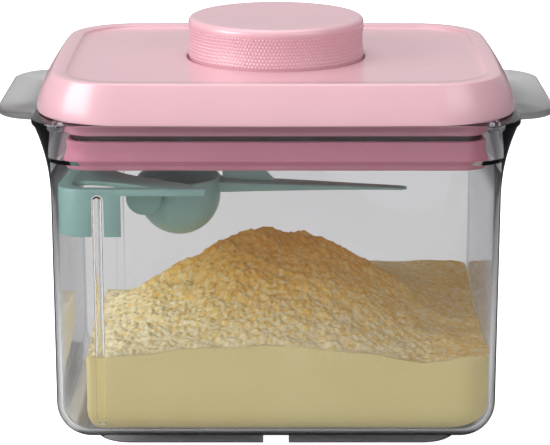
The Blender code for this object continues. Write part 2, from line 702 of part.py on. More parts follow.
def build_clamp():
    """Clamp plate under the gasket, with a hooked post for each lever and the scoop's clip."""
    half_x, half_y = plug_x - 0.0010, plug_y - 0.0010
    clamp = place(loft([(half_x - 0.0008, half_y - 0.0008, PLUG_CORNER - 0.0008, clamp_z),
                        (half_x - 0.0002, half_y - 0.0002, PLUG_CORNER - 0.0002, clamp_z + 0.0003),
                        (half_x, half_y, PLUG_CORNER, clamp_z + 0.0009),
                        (half_x, half_y, PLUG_CORNER, clamp_top)]), "clamp_plate", ROSE,
                  origin=(0, 0, clamp_z))
    half = LEVER_WIDTH / 2
    post_x = pivot_x + lever_outer + HOOK_GAP
    for side, y, label in lever_places():
        post = sorted((side * post_x, side * (post_x + HOOK_WIDTH)))
        hook_top = hook_z + HOOK_THICKNESS
        join(clamp, box((post[0], y - half, clamp_top - 0.0005), (post[1], y + half, hook_top)),
             f"post_{label}")
        hook = sorted((side * (post_x - HOOK_REACH), side * (post_x + 0.0004)))
        join(clamp, box((hook[0], y - half, hook_z), (hook[1], y + half, hook_top)), f"hook_{label}")
    clip_x = bowl_x + BOWL_RADIUS + CLIP_START
    inner = FIN_THICKNESS / 2 + GAP
    for side, label in ((-1, "front"), (1, "rear")):
        faces = sorted((bowl_y + side * inner, bowl_y + side * (inner + CLIP_WALL)))
        join(clamp, box((clip_x, faces[0], bowl_rim + CLIP_START),
                        (clip_x + CLIP_LENGTH, faces[1], clamp_z + 0.0005)), f"clip_{label}")
    smooth(clamp)


def build_button():
    outer, inner = BUTTON_RADIUS, BUTTON_RADIUS - BUTTON_WALL
    low = flange_top - BUTTON_FLANGE
    under = button_top - BUTTON_TOP
    waist = BUTTON_RADIUS - 0.0003
    edge = BUTTON_EDGE
    profile = [(0.0, button_top)]
    profile.append((outer - edge - 0.004, button_top - 0.0001))
    for step in range(4):
        angle = math.pi / 2 * step / 3
        profile.append((outer - edge * (1 - math.sin(angle)), button_top - edge * (1 - math.cos(angle))))
    profile += [(waist, (button_top + recess_z) / 2), (outer, flange_top + 0.0004), (outer, flange_top),
                (flange_radius, flange_top), (flange_radius, low), (inner, low), (inner, under),
                (0.0, under)]
    cap = place(turned(profile, (0, 0), sides=56), "button_cap", PINK, origin=(0, 0, button_top))
    smooth(cap)

    stem = place(cylinder((0, 0), STEM_RADIUS, stem_foot_z + STEM_FOOT - 0.0002, stem_top, sides=36),
                 "button_stem", WHITE, origin=(0, 0, button_top))
    join(stem, box((-STEM_FOOT_X, -STEM_FOOT_Y, stem_foot_z),
                   (STEM_FOOT_X, STEM_FOOT_Y, stem_foot_z + STEM_FOOT)), "foot")
    cam_low = stem_foot_z + STEM_FOOT - 0.0002
    cam_high = follower_tip_z + BUTTON_TRAVEL + CAM_MARGIN
    join(stem, box((-CAM_HALF, 0.0070, cam_low), (CAM_HALF, CAM_FACE, cam_high)), "cam")
    groove = place(box((-GROOVE_HALF, CAM_FACE - GROOVE_DEPTH, follower_tip_z - GROOVE_END),
                       (GROOVE_HALF, CAM_FACE + 0.001, follower_tip_z + BUTTON_TRAVEL + GROOVE_END)),
                   "cam_groove", None, cutter=True)
    middle = follower_tip_z + BUTTON_TRAVEL * 0.52
    heart = [(0.0, middle - 0.0028), (0.0012, middle - 0.0004), (0.0012, middle + 0.0018),
             (0.0, middle + 0.0010), (-0.0012, middle + 0.0018), (-0.0012, middle - 0.0004)]
    cut(groove, prism(heart, CAM_FACE - GROOVE_DEPTH - 0.001, CAM_FACE + 0.002, upright=True), "heart")
    groove_cut = stem.modifiers.new("groove", "BOOLEAN")
    groove_cut.operation = "DIFFERENCE"
    groove_cut.solver = "EXACT"
    groove_cut.object = groove
    cut(stem, cylinder((0, 0), BORE_RADIUS, stem_foot_z - 0.001, bore_top, sides=32), "bore")
    smooth(stem)

    turns = []
    start, end = deck_top + GAP + SPRING_WIRE, bore_top - GAP - SPRING_WIRE
    count = SPRING_TURNS * SPRING_STEPS
    for step in range(count + 1):
        angle = 2 * math.pi * step / SPRING_STEPS
        turns.append((SPRING_RADIUS * math.cos(angle), SPRING_RADIUS * math.sin(angle),
                      start + (end - start) * step / count))
    spring = place(wire(turns, SPRING_WIRE), "return_spring", STEEL, origin=(0, 0, deck_top))
    smooth(spring)


def build_follower():
    pivot = Vector((0, FOLLOWER_Y, follower_pivot_z))
    tip_x = -FOLLOWER_OFFSET
    path = [(0, FOLLOWER_Y + 0.0044, follower_pivot_z), (0, FOLLOWER_Y, follower_pivot_z),
            (tip_x, FOLLOWER_Y, follower_tip_z),
            (tip_x, CAM_FACE - GROOVE_DEPTH + 0.0004, follower_tip_z)]
    smooth(place(wire(path, FOLLOWER_WIRE), "latch_follower", STEEL, origin=pivot))


def build_levers():
    for side, y, label in lever_places():
        pivot = Vector((side * pivot_x, y, pivot_z))
        ends = sorted((-side * lever_inner, side * lever_outer))
        half = LEVER_WIDTH / 2
        bar = box((ends[0], -half, -LEVER_THICKNESS / 2), (ends[1], half, LEVER_THICKNESS / 2))
        lever = place(bar, f"lever_{label}", WHITE)
        hub = cylinder((0, 0), LEVER_HUB, -half, half, axis="Y", sides=20)
        hole = cylinder((0, 0), PIN_RADIUS + GAP, -half - 0.001, half + 0.001, axis="Y", sides=16)
        join(lever, hub, "hub")
        cut(lever, hole, "hole")
        for piece in (lever, hub, hole):
            piece.location = pivot
            piece.rotation_euler = (0, side * lever_tilt, 0)
        smooth(lever)
        reach = half + CHEEK_GAP + CHEEK
        pin = cylinder((pivot.x, pivot.z), PIN_RADIUS, y - reach, y + reach, axis="Y", sides=16)
        smooth(place(pin, f"pivot_pin_{label}", STEEL, origin=pivot))


def build_scoop():
    outer, inner = BOWL_RADIUS, BOWL_RADIUS - BOWL_WALL
    profile = [(0.0, bowl_centre - inner)]
    steps = 6
    for step in range(1, steps + 1):
        angle = math.pi / 2 * step / steps
        profile.append((inner * math.sin(angle), bowl_centre - inner * math.cos(angle)))
    profile += [(inner, bowl_rim), (outer, bowl_rim)]
    for step in range(steps, -1, -1):
        angle = math.pi / 2 * step / steps
        profile.append((outer * math.sin(angle), bowl_centre - outer * math.cos(angle)))
    origin = (bowl_x, bowl_y, bowl_rim)
    scoop = place(turned(profile, (bowl_x, bowl_y), sides=32), "scoop", GREEN, origin=origin)
    root_x = bowl_x + BOWL_RADIUS - BOWL_WALL / 2
    top = bowl_rim - 0.0008
    tip_top = top - HANDLE_FALL - HANDLE_ROOT_THICKNESS / 2
    side_view = [(root_x, top), (handle_tip_x, tip_top), (handle_tip_x, tip_top - HANDLE_TIP_THICKNESS),
                 (root_x, top - HANDLE_ROOT_THICKNESS - 0.0012)]
    handle = place(prism(side_view, bowl_y - 0.02, bowl_y + 0.02, upright=True), "scoop_handle", None,
                   cutter=True)
    plan = [(root_x, -HANDLE_ROOT_WIDTH / 2)]
    radius = HANDLE_TIP_WIDTH / 2
    for step in range(7):
        angle = math.radians(-90 + 30 * step)
        plan.append((handle_tip_x - radius + radius * math.cos(angle), radius * math.sin(angle)))
    plan.append((root_x, HANDLE_ROOT_WIDTH / 2))
    keep = place(prism([(x, bowl_y + y) for x, y in plan], bowl_centre - 0.01, bowl_rim + 0.01),
                 "handle_plan", None, cutter=True)
    trim = handle.modifiers.new("plan", "BOOLEAN")
    trim.operation = "INTERSECT"
    trim.solver = "EXACT"
    trim.object = keep
    handle_union = scoop.modifiers.new("handle", "BOOLEAN")
    handle_union.operation = "UNION"
    handle_union.solver = "EXACT"
    handle_union.object = handle
    fin_top = clamp_z - FIN_DROP
    fin = [(root_x + 0.0014, top - 0.0012), (root_x + FIN_LENGTH, top - 0.0012),
           (root_x + FIN_LENGTH * 0.62, fin_top), (root_x + 0.0014, fin_top)]
    join(scoop, prism(fin, bowl_y - FIN_THICKNESS / 2, bowl_y + FIN_THICKNESS / 2, upright=True), "fin")
    smooth(scoop)


def build_leveller():
    """Scraper frame round the tub's left end: skirt, straight edge strips and a curved top plate."""
    half_x, half_y = cavity_x - LEVELLER_GAP, cavity_y - LEVELLER_GAP
    corner = cavity_corner - LEVELLER_GAP
    skirt_z = leveller_top - SKIRT_HEIGHT
    strip_z = leveller_top - STRIP_HEIGHT
    leveller = place(loft([(half_x, half_y, corner, skirt_z), (half_x, half_y, corner, leveller_top)]),
                     "leveller", GREEN, origin=(rail_x, 0, leveller_top))
    inner = (half_x - LEVELLER_SKIRT, half_y - LEVELLER_SKIRT, corner - LEVELLER_SKIRT)
    cut(leveller, loft([(*inner, skirt_z - 0.001), (*inner, leveller_top - PLATE_THICKNESS)]), "hollow")
    left = -half_x
    skirt_end, strip_end = left + SKIRT_LENGTH, left + STRIP_LENGTH
    cut(leveller, box((skirt_end, -body_y, skirt_z - 0.001), (body_x, body_y, strip_z)), "skirt_end")
    cut(leveller, box((strip_end, -body_y, skirt_z - 0.001), (body_x, body_y, leveller_top + 0.001)),
        "strip_end")
    inner_edge = half_y - STRIP_WIDTH
    opening = [(strip_end + 0.0100, inner_edge), (strip_end - 0.0030, inner_edge)]
    opening += [(left + 0.0433, half_y - 0.0085), (left + 0.0353, half_y - 0.0125),
                (left + 0.0268, half_y - 0.0185), (left + 0.0183, half_y - 0.0260),
                (left + 0.0138, half_y - 0.0380)]
    mirrored = [(x, -y) for x, y in reversed(opening)]
    cut(leveller, prism(opening + mirrored, skirt_z - 0.002, leveller_top + 0.002), "opening")
    lens = [(0.0303, 0.0031), (0.0263, 0.0060), (0.0208, 0.0088), (0.0148, 0.0110),
            (0.0093, 0.0122), (0.0053, 0.0112), (0.0047, 0.0078), (0.0088, 0.0031)]
    slot_half = RAIL_WIDTH / 2 + SLOT_GAP
    finger_x = left + FINGER_INSET
    finger_z = leveller_top - FINGER_DROP
    outline = [(finger_x + FINGER_RADIUS, leveller_top - 0.0004)]
    outline += [(finger_x + FINGER_RADIUS * math.cos(math.radians(angle)),
                 finger_z + FINGER_RADIUS * math.sin(math.radians(angle)))
                for angle in range(0, -181, -20)]
    outline += [(finger_x - FINGER_RADIUS, leveller_top - 0.0004)]
    finger_inner = abs(bowl_y) + BOWL_RADIUS + FINGER_GAP - FINGER_THICKNESS / 2
    for side, label in ((-1, "front"), (1, "rear")):
        cut(leveller, prism([(left + x, side * (half_y - y)) for x, y in lens], leveller_top - 0.003,
                            leveller_top + 0.002), f"window_{label}")
        slot = sorted((side * (half_y + 0.001), side * (half_y - LEVELLER_SKIRT - 0.0004)))
        cut(leveller, box((rail_x - slot_half, slot[0], skirt_z - 0.001),
                          (rail_x + slot_half, slot[1], rail_top + GAP)), f"slot_{label}")
        faces = sorted((side * finger_inner, side * (finger_inner + FINGER_THICKNESS)))
        join(leveller, prism(outline, *faces, upright=True), f"finger_{label}")
    smooth(leveller)


def build_powder():
    """The powder that the tub holds: level at the walls and heaped in the middle."""
    room_x, room_y = cavity_x - POWDER_GAP, cavity_y - RAIL_DEPTH - POWDER_GAP
    fillet = BASE_FILLET - WALL
    rings = fillet_rings(room_x, room_y, cavity_corner, floor_z + GAP, fillet, steps=3)
    bm = bmesh.new()
    loops = []
    for half_x, half_y, radius, height in rings:
        outline = rounded_outline(half_x, half_y, radius, side_steps=SIDE_STEPS)
        loops.append([bm.verts.new((point.x, point.y, height)) for point in outline])
    edge = rounded_outline(room_x, room_y, cavity_corner, side_steps=SIDE_STEPS)
    for share in (1.0, 0.92, 0.80, 0.66, 0.52, 0.38, 0.24, 0.10):
        climb = 0.5 + 0.5 * math.cos(math.pi * share)
        height = powder_edge + (powder_peak - powder_edge) * climb
        shift = POWDER_PEAK_X * (1 - share)
        loops.append([bm.verts.new((point.x * share + shift, point.y * share, height))
                      for point in edge])
    for low, high in zip(loops, loops[1:]):
        for index in range(len(low)):
            following = (index + 1) % len(low)
            bm.faces.new((low[index], low[following], high[following], high[index]))
    bm.faces.new(loops[0])
    bm.faces.new(loops[-1])
    smooth(place(from_bmesh(bm), "formula_powder", POWDER))


build_tub()
build_powder()
build_leveller()
build_scoop()
build_cover()
build_pan()
build_screws()
build_gasket()
build_clamp()
build_button()
build_follower()
build_levers()
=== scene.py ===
"""Looks of the formula keeper: fine meshes, materials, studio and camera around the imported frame."""
import math

import bmesh
import bpy
import numpy as np
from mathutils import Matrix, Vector


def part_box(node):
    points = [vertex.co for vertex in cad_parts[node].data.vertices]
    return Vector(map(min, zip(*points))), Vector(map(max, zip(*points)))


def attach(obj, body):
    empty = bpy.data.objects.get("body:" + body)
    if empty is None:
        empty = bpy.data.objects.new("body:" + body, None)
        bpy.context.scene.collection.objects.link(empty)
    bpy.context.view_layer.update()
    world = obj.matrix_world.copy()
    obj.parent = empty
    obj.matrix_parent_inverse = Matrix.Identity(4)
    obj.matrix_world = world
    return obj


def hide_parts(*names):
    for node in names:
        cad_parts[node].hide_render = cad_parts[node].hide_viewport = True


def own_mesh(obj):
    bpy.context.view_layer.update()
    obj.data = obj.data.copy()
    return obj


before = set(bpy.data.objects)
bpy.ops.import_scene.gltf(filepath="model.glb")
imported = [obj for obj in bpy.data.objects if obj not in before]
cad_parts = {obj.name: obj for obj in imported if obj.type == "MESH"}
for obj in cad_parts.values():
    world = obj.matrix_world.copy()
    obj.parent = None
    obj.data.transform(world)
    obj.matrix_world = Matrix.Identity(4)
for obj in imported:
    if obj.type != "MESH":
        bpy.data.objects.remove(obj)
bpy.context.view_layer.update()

# ------------------------------------------------------------------ sizes, in metres
tub_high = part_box("container_body")[1]
cover_low, cover_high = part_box("lid_cover")
cap_low, cap_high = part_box("button_cap")
clamp_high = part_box("clamp_plate")[1]
gasket_low, gasket_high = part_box("gasket")
leveller_low, leveller_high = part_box("leveller")
scoop_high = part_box("scoop")[1]
spring_low, spring_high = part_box("return_spring")

BODY_X, BODY_Y = 0.0768, 0.0560
BODY_CORNER = 0.0125
WALL = 0.0021
RIM_Z = tub_high[2]
FOOT = 0.0042
FILLET = 0.0118
LEDGE = 0.0008
LEDGE_DROP = 0.0147
FLARE, FLARE_HEIGHT = 0.0052, 0.0270
RIM_LIP, RIM_THICKNESS = 0.0030, 0.0022
EAR_HALF_X, EAR_HALF_Y = tub_high[0], 0.0386
EAR_CORNER, EAR_THICKNESS = 0.0147, 0.0028
RAIL_X, RAIL_WIDTH, RAIL_DEPTH, RAIL_DROP = -0.0603, 0.0032, 0.0016, 0.0252
CAVITY_X, CAVITY_Y, CAVITY_CORNER = BODY_X - WALL, BODY_Y - WALL, BODY_CORNER - WALL
FLOOR_Z = FOOT + WALL

LID_X, LID_Y, LID_CORNER, LID_BOW = 0.0820, 0.0613, 0.0300, 0.0008
LID_LOW, LID_TOP = RIM_Z + 0.0005, cover_high[2]
LID_TAPER_X, LID_TAPER_Y = 0.0056, 0.0029
LID_BORDER, RECESS_DEPTH, COVER_WALL = 0.0058, 0.0012, 0.0020
RECESS_Z = LID_TOP - RECESS_DEPTH
PLUG_X, PLUG_Y, PLUG_CORNER = gasket_high[0], gasket_high[1], 0.0105
COLLAR_WALL = 0.0018
HOLE_RADIUS = 0.0318

BUTTON_RADIUS = 0.0311
BUTTON_TOP = cap_high[2]
FLANGE_RADIUS = cap_high[0]

BOWL_X, BOWL_Y, BOWL_RADIUS, BOWL_WALL = -0.0340, -0.0220, 0.0145, 0.0012
BOWL_RIM = 0.0925
BOWL_CENTRE = BOWL_RIM - 0.0065
HANDLE_TIP_X = scoop_high[0]

POST_X, HOOK_Z = 0.0432, 0.1154
POWDER_LEFT = 0.0652                 # the powder is drawn to here, short of the left end wall
COLLAR_RAISED, GASKET_RAISED = 0.0009, 0.0001   # shown higher than the CAD, to open the slot between them
COLLAR_Z = cover_low[2] + COLLAR_RAISED
DOT_HEIGHT = 0.0003
COAT_WEIGHT, COAT_ROUGHNESS = 0.9, 0.22

CORNER_STEPS = 16


# ------------------------------------------------------------------ mesh helpers
def add_object(name, mesh):
    obj = bpy.data.objects.new(name, mesh)
    bpy.context.scene.collection.objects.link(obj)
    return obj


def from_bmesh(name, bm, recalculate=True):
    if recalculate:
        bmesh.ops.recalc_face_normals(bm, faces=bm.faces)
    mesh = bpy.data.meshes.new(name)
    bm.to_mesh(mesh)
    bm.free()
    return add_object(name, mesh)


def smooth(obj, degrees=32.0):
    obj.data.shade_smooth()
    obj.data.set_sharp_from_angle(angle=math.radians(degrees))
    return obj


def apply_modifiers(obj):
    """Replace a mesh by its evaluated shape."""
    bpy.context.view_layer.update()
    evaluated = obj.evaluated_get(bpy.context.evaluated_depsgraph_get())
    mesh = bpy.data.meshes.new_from_object(evaluated)
    obj.modifiers.clear()
    obj.data = mesh
    return obj


def combine(obj, tool, operation):
    modifier = obj.modifiers.new("combine", "BOOLEAN")
    modifier.operation = operation
    modifier.solver = "EXACT"
    modifier.object = tool
    apply_modifiers(obj)
    bpy.data.objects.remove(tool, do_unlink=True)
    return obj


def join(obj, tool):
    return combine(obj, tool, "UNION")


def cut(obj, tool):
    return combine(obj, tool, "DIFFERENCE")


def soften(obj, width, degrees=40.0, segments=2):
    """Round every sharp edge by a bevel."""
    modifier = obj.modifiers.new("soften", "BEVEL")
    modifier.width = width
    modifier.segments = segments
    modifier.limit_method = "ANGLE"
    modifier.angle_limit = math.radians(degrees)
    modifier.harden_normals = False
    return apply_modifiers(obj)


def rounded_outline(half_x, half_y, radius, bow=0.0, corner_steps=CORNER_STEPS, side_steps=6):
    """Counter-clockwise rounded rectangle whose sides bulge outwards by bow."""
    corners = ((1, 1, 0.0), (-1, 1, 90.0), (-1, -1, 180.0), (1, -1, 270.0))
    points = []
    for index, (side_x, side_y, start) in enumerate(corners):
        centre = Vector((side_x * (half_x - radius), side_y * (half_y - radius)))
        for step in range(corner_steps + 1):
            angle = math.radians(start + 90.0 * step / corner_steps)
            points.append(centre + radius * Vector((math.cos(angle), math.sin(angle))))
        next_x, next_y, next_start = corners[(index + 1) % 4]
        normal = Vector((math.cos(math.radians(next_start)), math.sin(math.radians(next_start))))
        goal = Vector((next_x * (half_x - radius), next_y * (half_y - radius))) + radius * normal
        begin = points[-1].copy()
        for step in range(1, side_steps):
            share = step / side_steps
            points.append(begin.lerp(goal, share) + normal * bow * math.sin(math.pi * share))
    return points


def loft(name, rings, corner_steps=CORNER_STEPS, side_steps=6):
    """Closed solid through rounded-rectangle sections (half_x, half_y, radius, z, bow)."""
    bm = bmesh.new()
    loops = []
    for half_x, half_y, radius, height, *bow in rings:
        outline = rounded_outline(half_x, half_y, radius, bow[0] if bow else 0.0,
                                  corner_steps, side_steps)
        loops.append([bm.verts.new((point.x, point.y, height)) for point in outline])
    for low, high in zip(loops, loops[1:]):
        for index in range(len(low)):
            following = (index + 1) % len(low)
            bm.faces.new((low[index], low[following], high[following], high[index]))
    bm.faces.new(loops[0])
    bm.faces.new(loops[-1])
    return from_bmesh(name, bm)


def box(name, low, high):
    bm = bmesh.new()
    bmesh.ops.create_cube(bm, size=1.0)
    low, high = Vector(low), Vector(high)
    bmesh.ops.scale(bm, vec=high - low, verts=bm.verts)
    bmesh.ops.translate(bm, vec=(low + high) / 2, verts=bm.verts)
    return from_bmesh(name, bm)


def cylinder(name, x, y, radius, low, high, sides=64):
    bm = bmesh.new()
    bmesh.ops.create_cone(bm, cap_ends=True, segments=sides, radius1=radius, radius2=radius,
                          depth=high - low)
    bmesh.ops.translate(bm, vec=(x, y, (low + high) / 2), verts=bm.verts)
    return from_bmesh(name, bm)


def prism(name, outline, low, high, upright=False):
    """Flat outline made thick, in XY or (upright) in XZ."""
    bm = bmesh.new()
    loops = []
    for level in (low, high):
        if upright:
            loops.append([bm.verts.new((first, level, second)) for first, second in outline])
        else:
            loops.append([bm.verts.new((first, second, level)) for first, second in outline])
    for index in range(len(outline)):
        following = (index + 1) % len(outline)
        bm.faces.new((loops[0][index], loops[0][following], loops[1][following], loops[1][index]))
    bm.faces.new(loops[0])
    bm.faces.new(loops[1])
    return from_bmesh(name, bm)


def turned(name, profile, x, y, sides=128):
    """Round piece from a profile of (radius, z) that starts and ends on the axis."""
    bm = bmesh.new()
    rows = []
    for radius, height in profile:
        if radius < 1e-7:
            rows.append([bm.verts.new((x, y, height))])
        else:
            rows.append([bm.verts.new((x + radius * math.cos(2 * math.pi * i / sides),
                                       y + radius * math.sin(2 * math.pi * i / sides), height))
                         for i in range(sides)])
    for upper, lower in zip(rows, rows[1:]):
        for i in range(sides):
            j = (i + 1) % sides
            corners = [upper[i % len(upper)], upper[j % len(upper)],
                       lower[j % len(lower)], lower[i % len(lower)]]
            unique = list(dict.fromkeys(corners))
            bm.faces.new(unique)
    return from_bmesh(name, bm)


def chaikin(points, rounds=2):
    """Round the corners of an open run of points."""
    for _ in range(rounds):
        rounded = [points[0]]
        for first, second in zip(points, points[1:]):
            rounded.append(tuple(a * 0.75 + b * 0.25 for a, b in zip(first, second)))
            rounded.append(tuple(a * 0.25 + b * 0.75 for a, b in zip(first, second)))
        rounded.append(points[-1])
        points = rounded
    return points


def fillet_rings(half_x, half_y, corner, base_z, fillet, steps=12):
    rings = []
    for step in range(steps + 1):
        angle = math.pi / 2 * step / steps
        inset = fillet * (1 - math.sin(angle))
        rings.append((half_x - inset, half_y - inset, max(corner - inset, 0.0006),
                      base_z + fillet * (1 - math.cos(angle))))
    return rings


# ------------------------------------------------------------------ materials
class Nodes:
    """Short names for building one material's node tree."""

    def __init__(self, name):
        self.material = bpy.data.materials.new(name)
        self.material.use_nodes = True
        self.tree = self.material.node_tree
        self.shader = self.tree.nodes["Principled BSDF"]
        self.output = self.tree.nodes["Material Output"]
        self.place = self.tree.nodes.new("ShaderNodeTexCoord").outputs["Object"]

    def new(self, kind, **values):
        node = self.tree.nodes.new(kind)
        for key, value in values.items():
            setattr(node, key, value)
        return node

    def link(self, source, target):
        self.tree.links.new(source, target)

    def noise(self, scale, detail=3.0, roughness=0.5, place=None):
        node = self.new("ShaderNodeTexNoise")
        node.inputs["Scale"].default_value = scale
        node.inputs["Detail"].default_value = detail
        node.inputs["Roughness"].default_value = roughness
        self.link(place or self.place, node.inputs["Vector"])
        return node.outputs["Fac"]

    def ramp(self, source, stops):
        node = self.new("ShaderNodeValToRGB")
        elements = node.color_ramp.elements
        while len(elements) < len(stops):
            elements.new(0.5)
        for element, (position, colour) in zip(elements, stops):
            element.position = position
            element.color = (*colour, 1.0)
        self.link(source, node.inputs["Fac"])
        return node.outputs["Color"]

    def span(self, source, low, high, to_low, to_high):
        node = self.new("ShaderNodeMapRange")
        for key, value in (("From Min", low), ("From Max", high), ("To Min", to_low), ("To Max", to_high)):
            node.inputs[key].default_value = value
        self.link(source, node.inputs["Value"])
        return node.outputs["Result"]

    def bump(self, source, strength, distance):
        node = self.new("ShaderNodeBump")
        node.inputs["Strength"].default_value = strength
        node.inputs["Distance"].default_value = distance
        self.link(source, node.inputs["Height"])
        self.link(node.outputs["Normal"], self.shader.inputs["Normal"])

    def set(self, **values):
        for key, value in values.items():
            self.shader.inputs[key.replace("_", " ")].default_value = value


def linear(red, green, blue):
    """Linear colour from display values out of 255."""
    return tuple(((v / 255 + 0.055) / 1.055) ** 2.4 if v > 10 else v / 255 / 12.92
                 for v in (red, green, blue))


def moulded(name, colour, roughness=0.34, variation=0.03, grain=0.00002, scatter=0.0, ior=1.5):
    """Satin moulded plastic: faint cloudiness, uneven gloss and a fine spark-eroded grain."""
    nodes = Nodes(name)
    cloud = nodes.noise(35.0, 2.0)
    dark = tuple(c * (1 - variation) for c in colour)
    light = tuple(min(c * (1 + variation), 1.0) for c in colour)
    nodes.link(nodes.ramp(cloud, ((0.3, dark), (0.7, light))), nodes.shader.inputs["Base Color"])
    gloss = nodes.noise(220.0, 2.0)
    nodes.link(nodes.span(gloss, 0.3, 0.7, roughness - 0.04, roughness + 0.04),
               nodes.shader.inputs["Roughness"])
    nodes.bump(nodes.noise(2600.0, 2.0), 0.25, grain)
    nodes.set(IOR=ior)
    if scatter:
        nodes.set(Subsurface_Weight=scatter, Subsurface_Scale=0.004)
        nodes.shader.inputs["Subsurface Radius"].default_value = (1.0, 0.6, 0.55)
    return nodes.material


def clear_plastic(name, tint_and_edge_shade, painted_edge_shade, start, density, roughness):
    """Smoky clear polycarbonate, with painted shade: darker where it is seen edge on, a painted stand-in for
    dark reflections, and a painted shadow line along the tub's base.
    """
    nodes = Nodes(name)
    waves = nodes.noise(14.0, 1.0)
    nodes.link(nodes.span(waves, 0.3, 0.7, roughness, roughness + 0.02), nodes.shader.inputs["Roughness"])
    # Towards grazing view the colour darkens to the painted edge shade colour: painted shade standing in for
    # dark reflections at the edges.
    edge = nodes.new("ShaderNodeLayerWeight")
    edge.inputs["Blend"].default_value = 0.5
    tint_and_edge_shade = nodes.ramp(edge.outputs["Facing"], ((0.0, tint_and_edge_shade), (start, tint_and_edge_shade), (1.0, painted_edge_shade)))
    split = nodes.new("ShaderNodeSeparateXYZ")
    nodes.link(nodes.place, split.inputs["Vector"])
    # A grey line just above the foot, multiplied into the colour: a painted shadow line along the tub's
    # base.
    painted_base_shade_grey = (0.14, 0.14, 0.15)
    base = nodes.ramp(nodes.span(split.outputs["Z"], FOOT - 0.0002, FOOT + 0.0028, 0.0, 1.0),
                      ((0.0, (1, 1, 1)), (0.10, painted_base_shade_grey), (0.50, painted_base_shade_grey), (0.85, (1, 1, 1))))
    tint_times_base_shade = nodes.new("ShaderNodeMix", data_type="RGBA", blend_type="MULTIPLY")
    tint_times_base_shade.inputs["Factor"].default_value = 1.0
    nodes.link(tint_and_edge_shade, tint_times_base_shade.inputs["A"])
    nodes.link(base, tint_times_base_shade.inputs["B"])
    nodes.link(tint_times_base_shade.outputs["Result"], nodes.shader.inputs["Base Color"])
    nodes.set(IOR=1.50, Transmission_Weight=1.0)
    nodes.bump(nodes.noise(22.0, 1.0), 0.08, 0.0003)
    path = nodes.new("ShaderNodeLightPath")
    clear = nodes.new("ShaderNodeBsdfTransparent")
    clear.inputs["Color"].default_value = (0.80, 0.80, 0.81, 1.0)
    mix = nodes.new("ShaderNodeMixShader")
    nodes.link(path.outputs["Is Shadow Ray"], mix.inputs["Fac"])
    nodes.link(nodes.shader.outputs["BSDF"], mix.inputs[1])
    nodes.link(clear.outputs["BSDF"], mix.inputs[2])
    nodes.link(mix.outputs["Shader"], nodes.output.inputs["Surface"])
    smoke = nodes.new("ShaderNodeVolumeAbsorption")
    smoke.inputs["Color"].default_value = (0.10, 0.09, 0.12, 1.0)
    smoke.inputs["Density"].default_value = density
    nodes.link(smoke.outputs["Volume"], nodes.output.inputs["Volume"])
    return nodes.material


def powder_material():
    """Milk powder: pale and even where it lies on the walls, golden and crumbly on the heap, and deeper
    orange towards the right, which is painted shade.
    """
    nodes = Nodes("milk_powder")
    split = nodes.new("ShaderNodeSeparateXYZ")
    nodes.link(nodes.place, split.inputs["Vector"])
    height = nodes.span(split.outputs["Z"], 0.036, 0.064, 0.0, 1.0)
    blotch = nodes.noise(420.0, 8.0, 0.8)
    mixed = nodes.new("ShaderNodeMath", operation="ADD")
    nodes.link(nodes.span(blotch, 0.35, 0.65, -0.55, 0.45), mixed.inputs[0])
    nodes.link(height, mixed.inputs[1])
    gold_and_right_shade = nodes.new("ShaderNodeMath", operation="ADD")
    nodes.link(mixed.outputs[0], gold_and_right_shade.inputs[0])
    # Adds up to 0.40 towards +X: painted shade on the heap's right side, away from the key light.
    nodes.link(nodes.span(split.outputs["X"], 0.020, 0.065, 0.0, 0.40), gold_and_right_shade.inputs[1])
    gold = nodes.ramp(gold_and_right_shade.outputs[0], ((0.0, (0.97, 0.87, 0.55)), (0.32, (0.90, 0.69, 0.28)),
                                           (0.65, (0.86, 0.53, 0.11)), (1.0, (0.82, 0.40, 0.035))))
    even = nodes.ramp(nodes.noise(45.0, 3.0), ((0.3, (0.79, 0.67, 0.31)), (0.7, (0.83, 0.71, 0.355))))
    crumb = nodes.new("ShaderNodeAttribute", attribute_name="crumb")
    colour = nodes.new("ShaderNodeMix", data_type="RGBA")
    nodes.link(crumb.outputs["Fac"], colour.inputs["Factor"])
    nodes.link(even, colour.inputs["A"])
    nodes.link(gold, colour.inputs["B"])
    nodes.link(colour.outputs["Result"], nodes.shader.inputs["Base Color"])
    nodes.set(Roughness=0.95, Specular_IOR_Level=0.12)
    grain = nodes.noise(2200.0, 4.0, 0.7)
    nodes.bump(grain, 0.6, 0.0003)
    return nodes.material


def metal(name, colour, roughness):
    nodes = Nodes(name)
    brushed = nodes.noise(900.0, 3.0)
    nodes.link(nodes.span(brushed, 0.3, 0.7, roughness - 0.06, roughness + 0.08),
               nodes.shader.inputs["Roughness"])
    nodes.link(nodes.ramp(nodes.noise(60.0), ((0.3, tuple(c * 0.93 for c in colour)), (0.7, colour))),
               nodes.shader.inputs["Base Color"])
    nodes.set(Metallic=1.0)
    nodes.bump(brushed, 0.1, 0.00002)
    return nodes.material


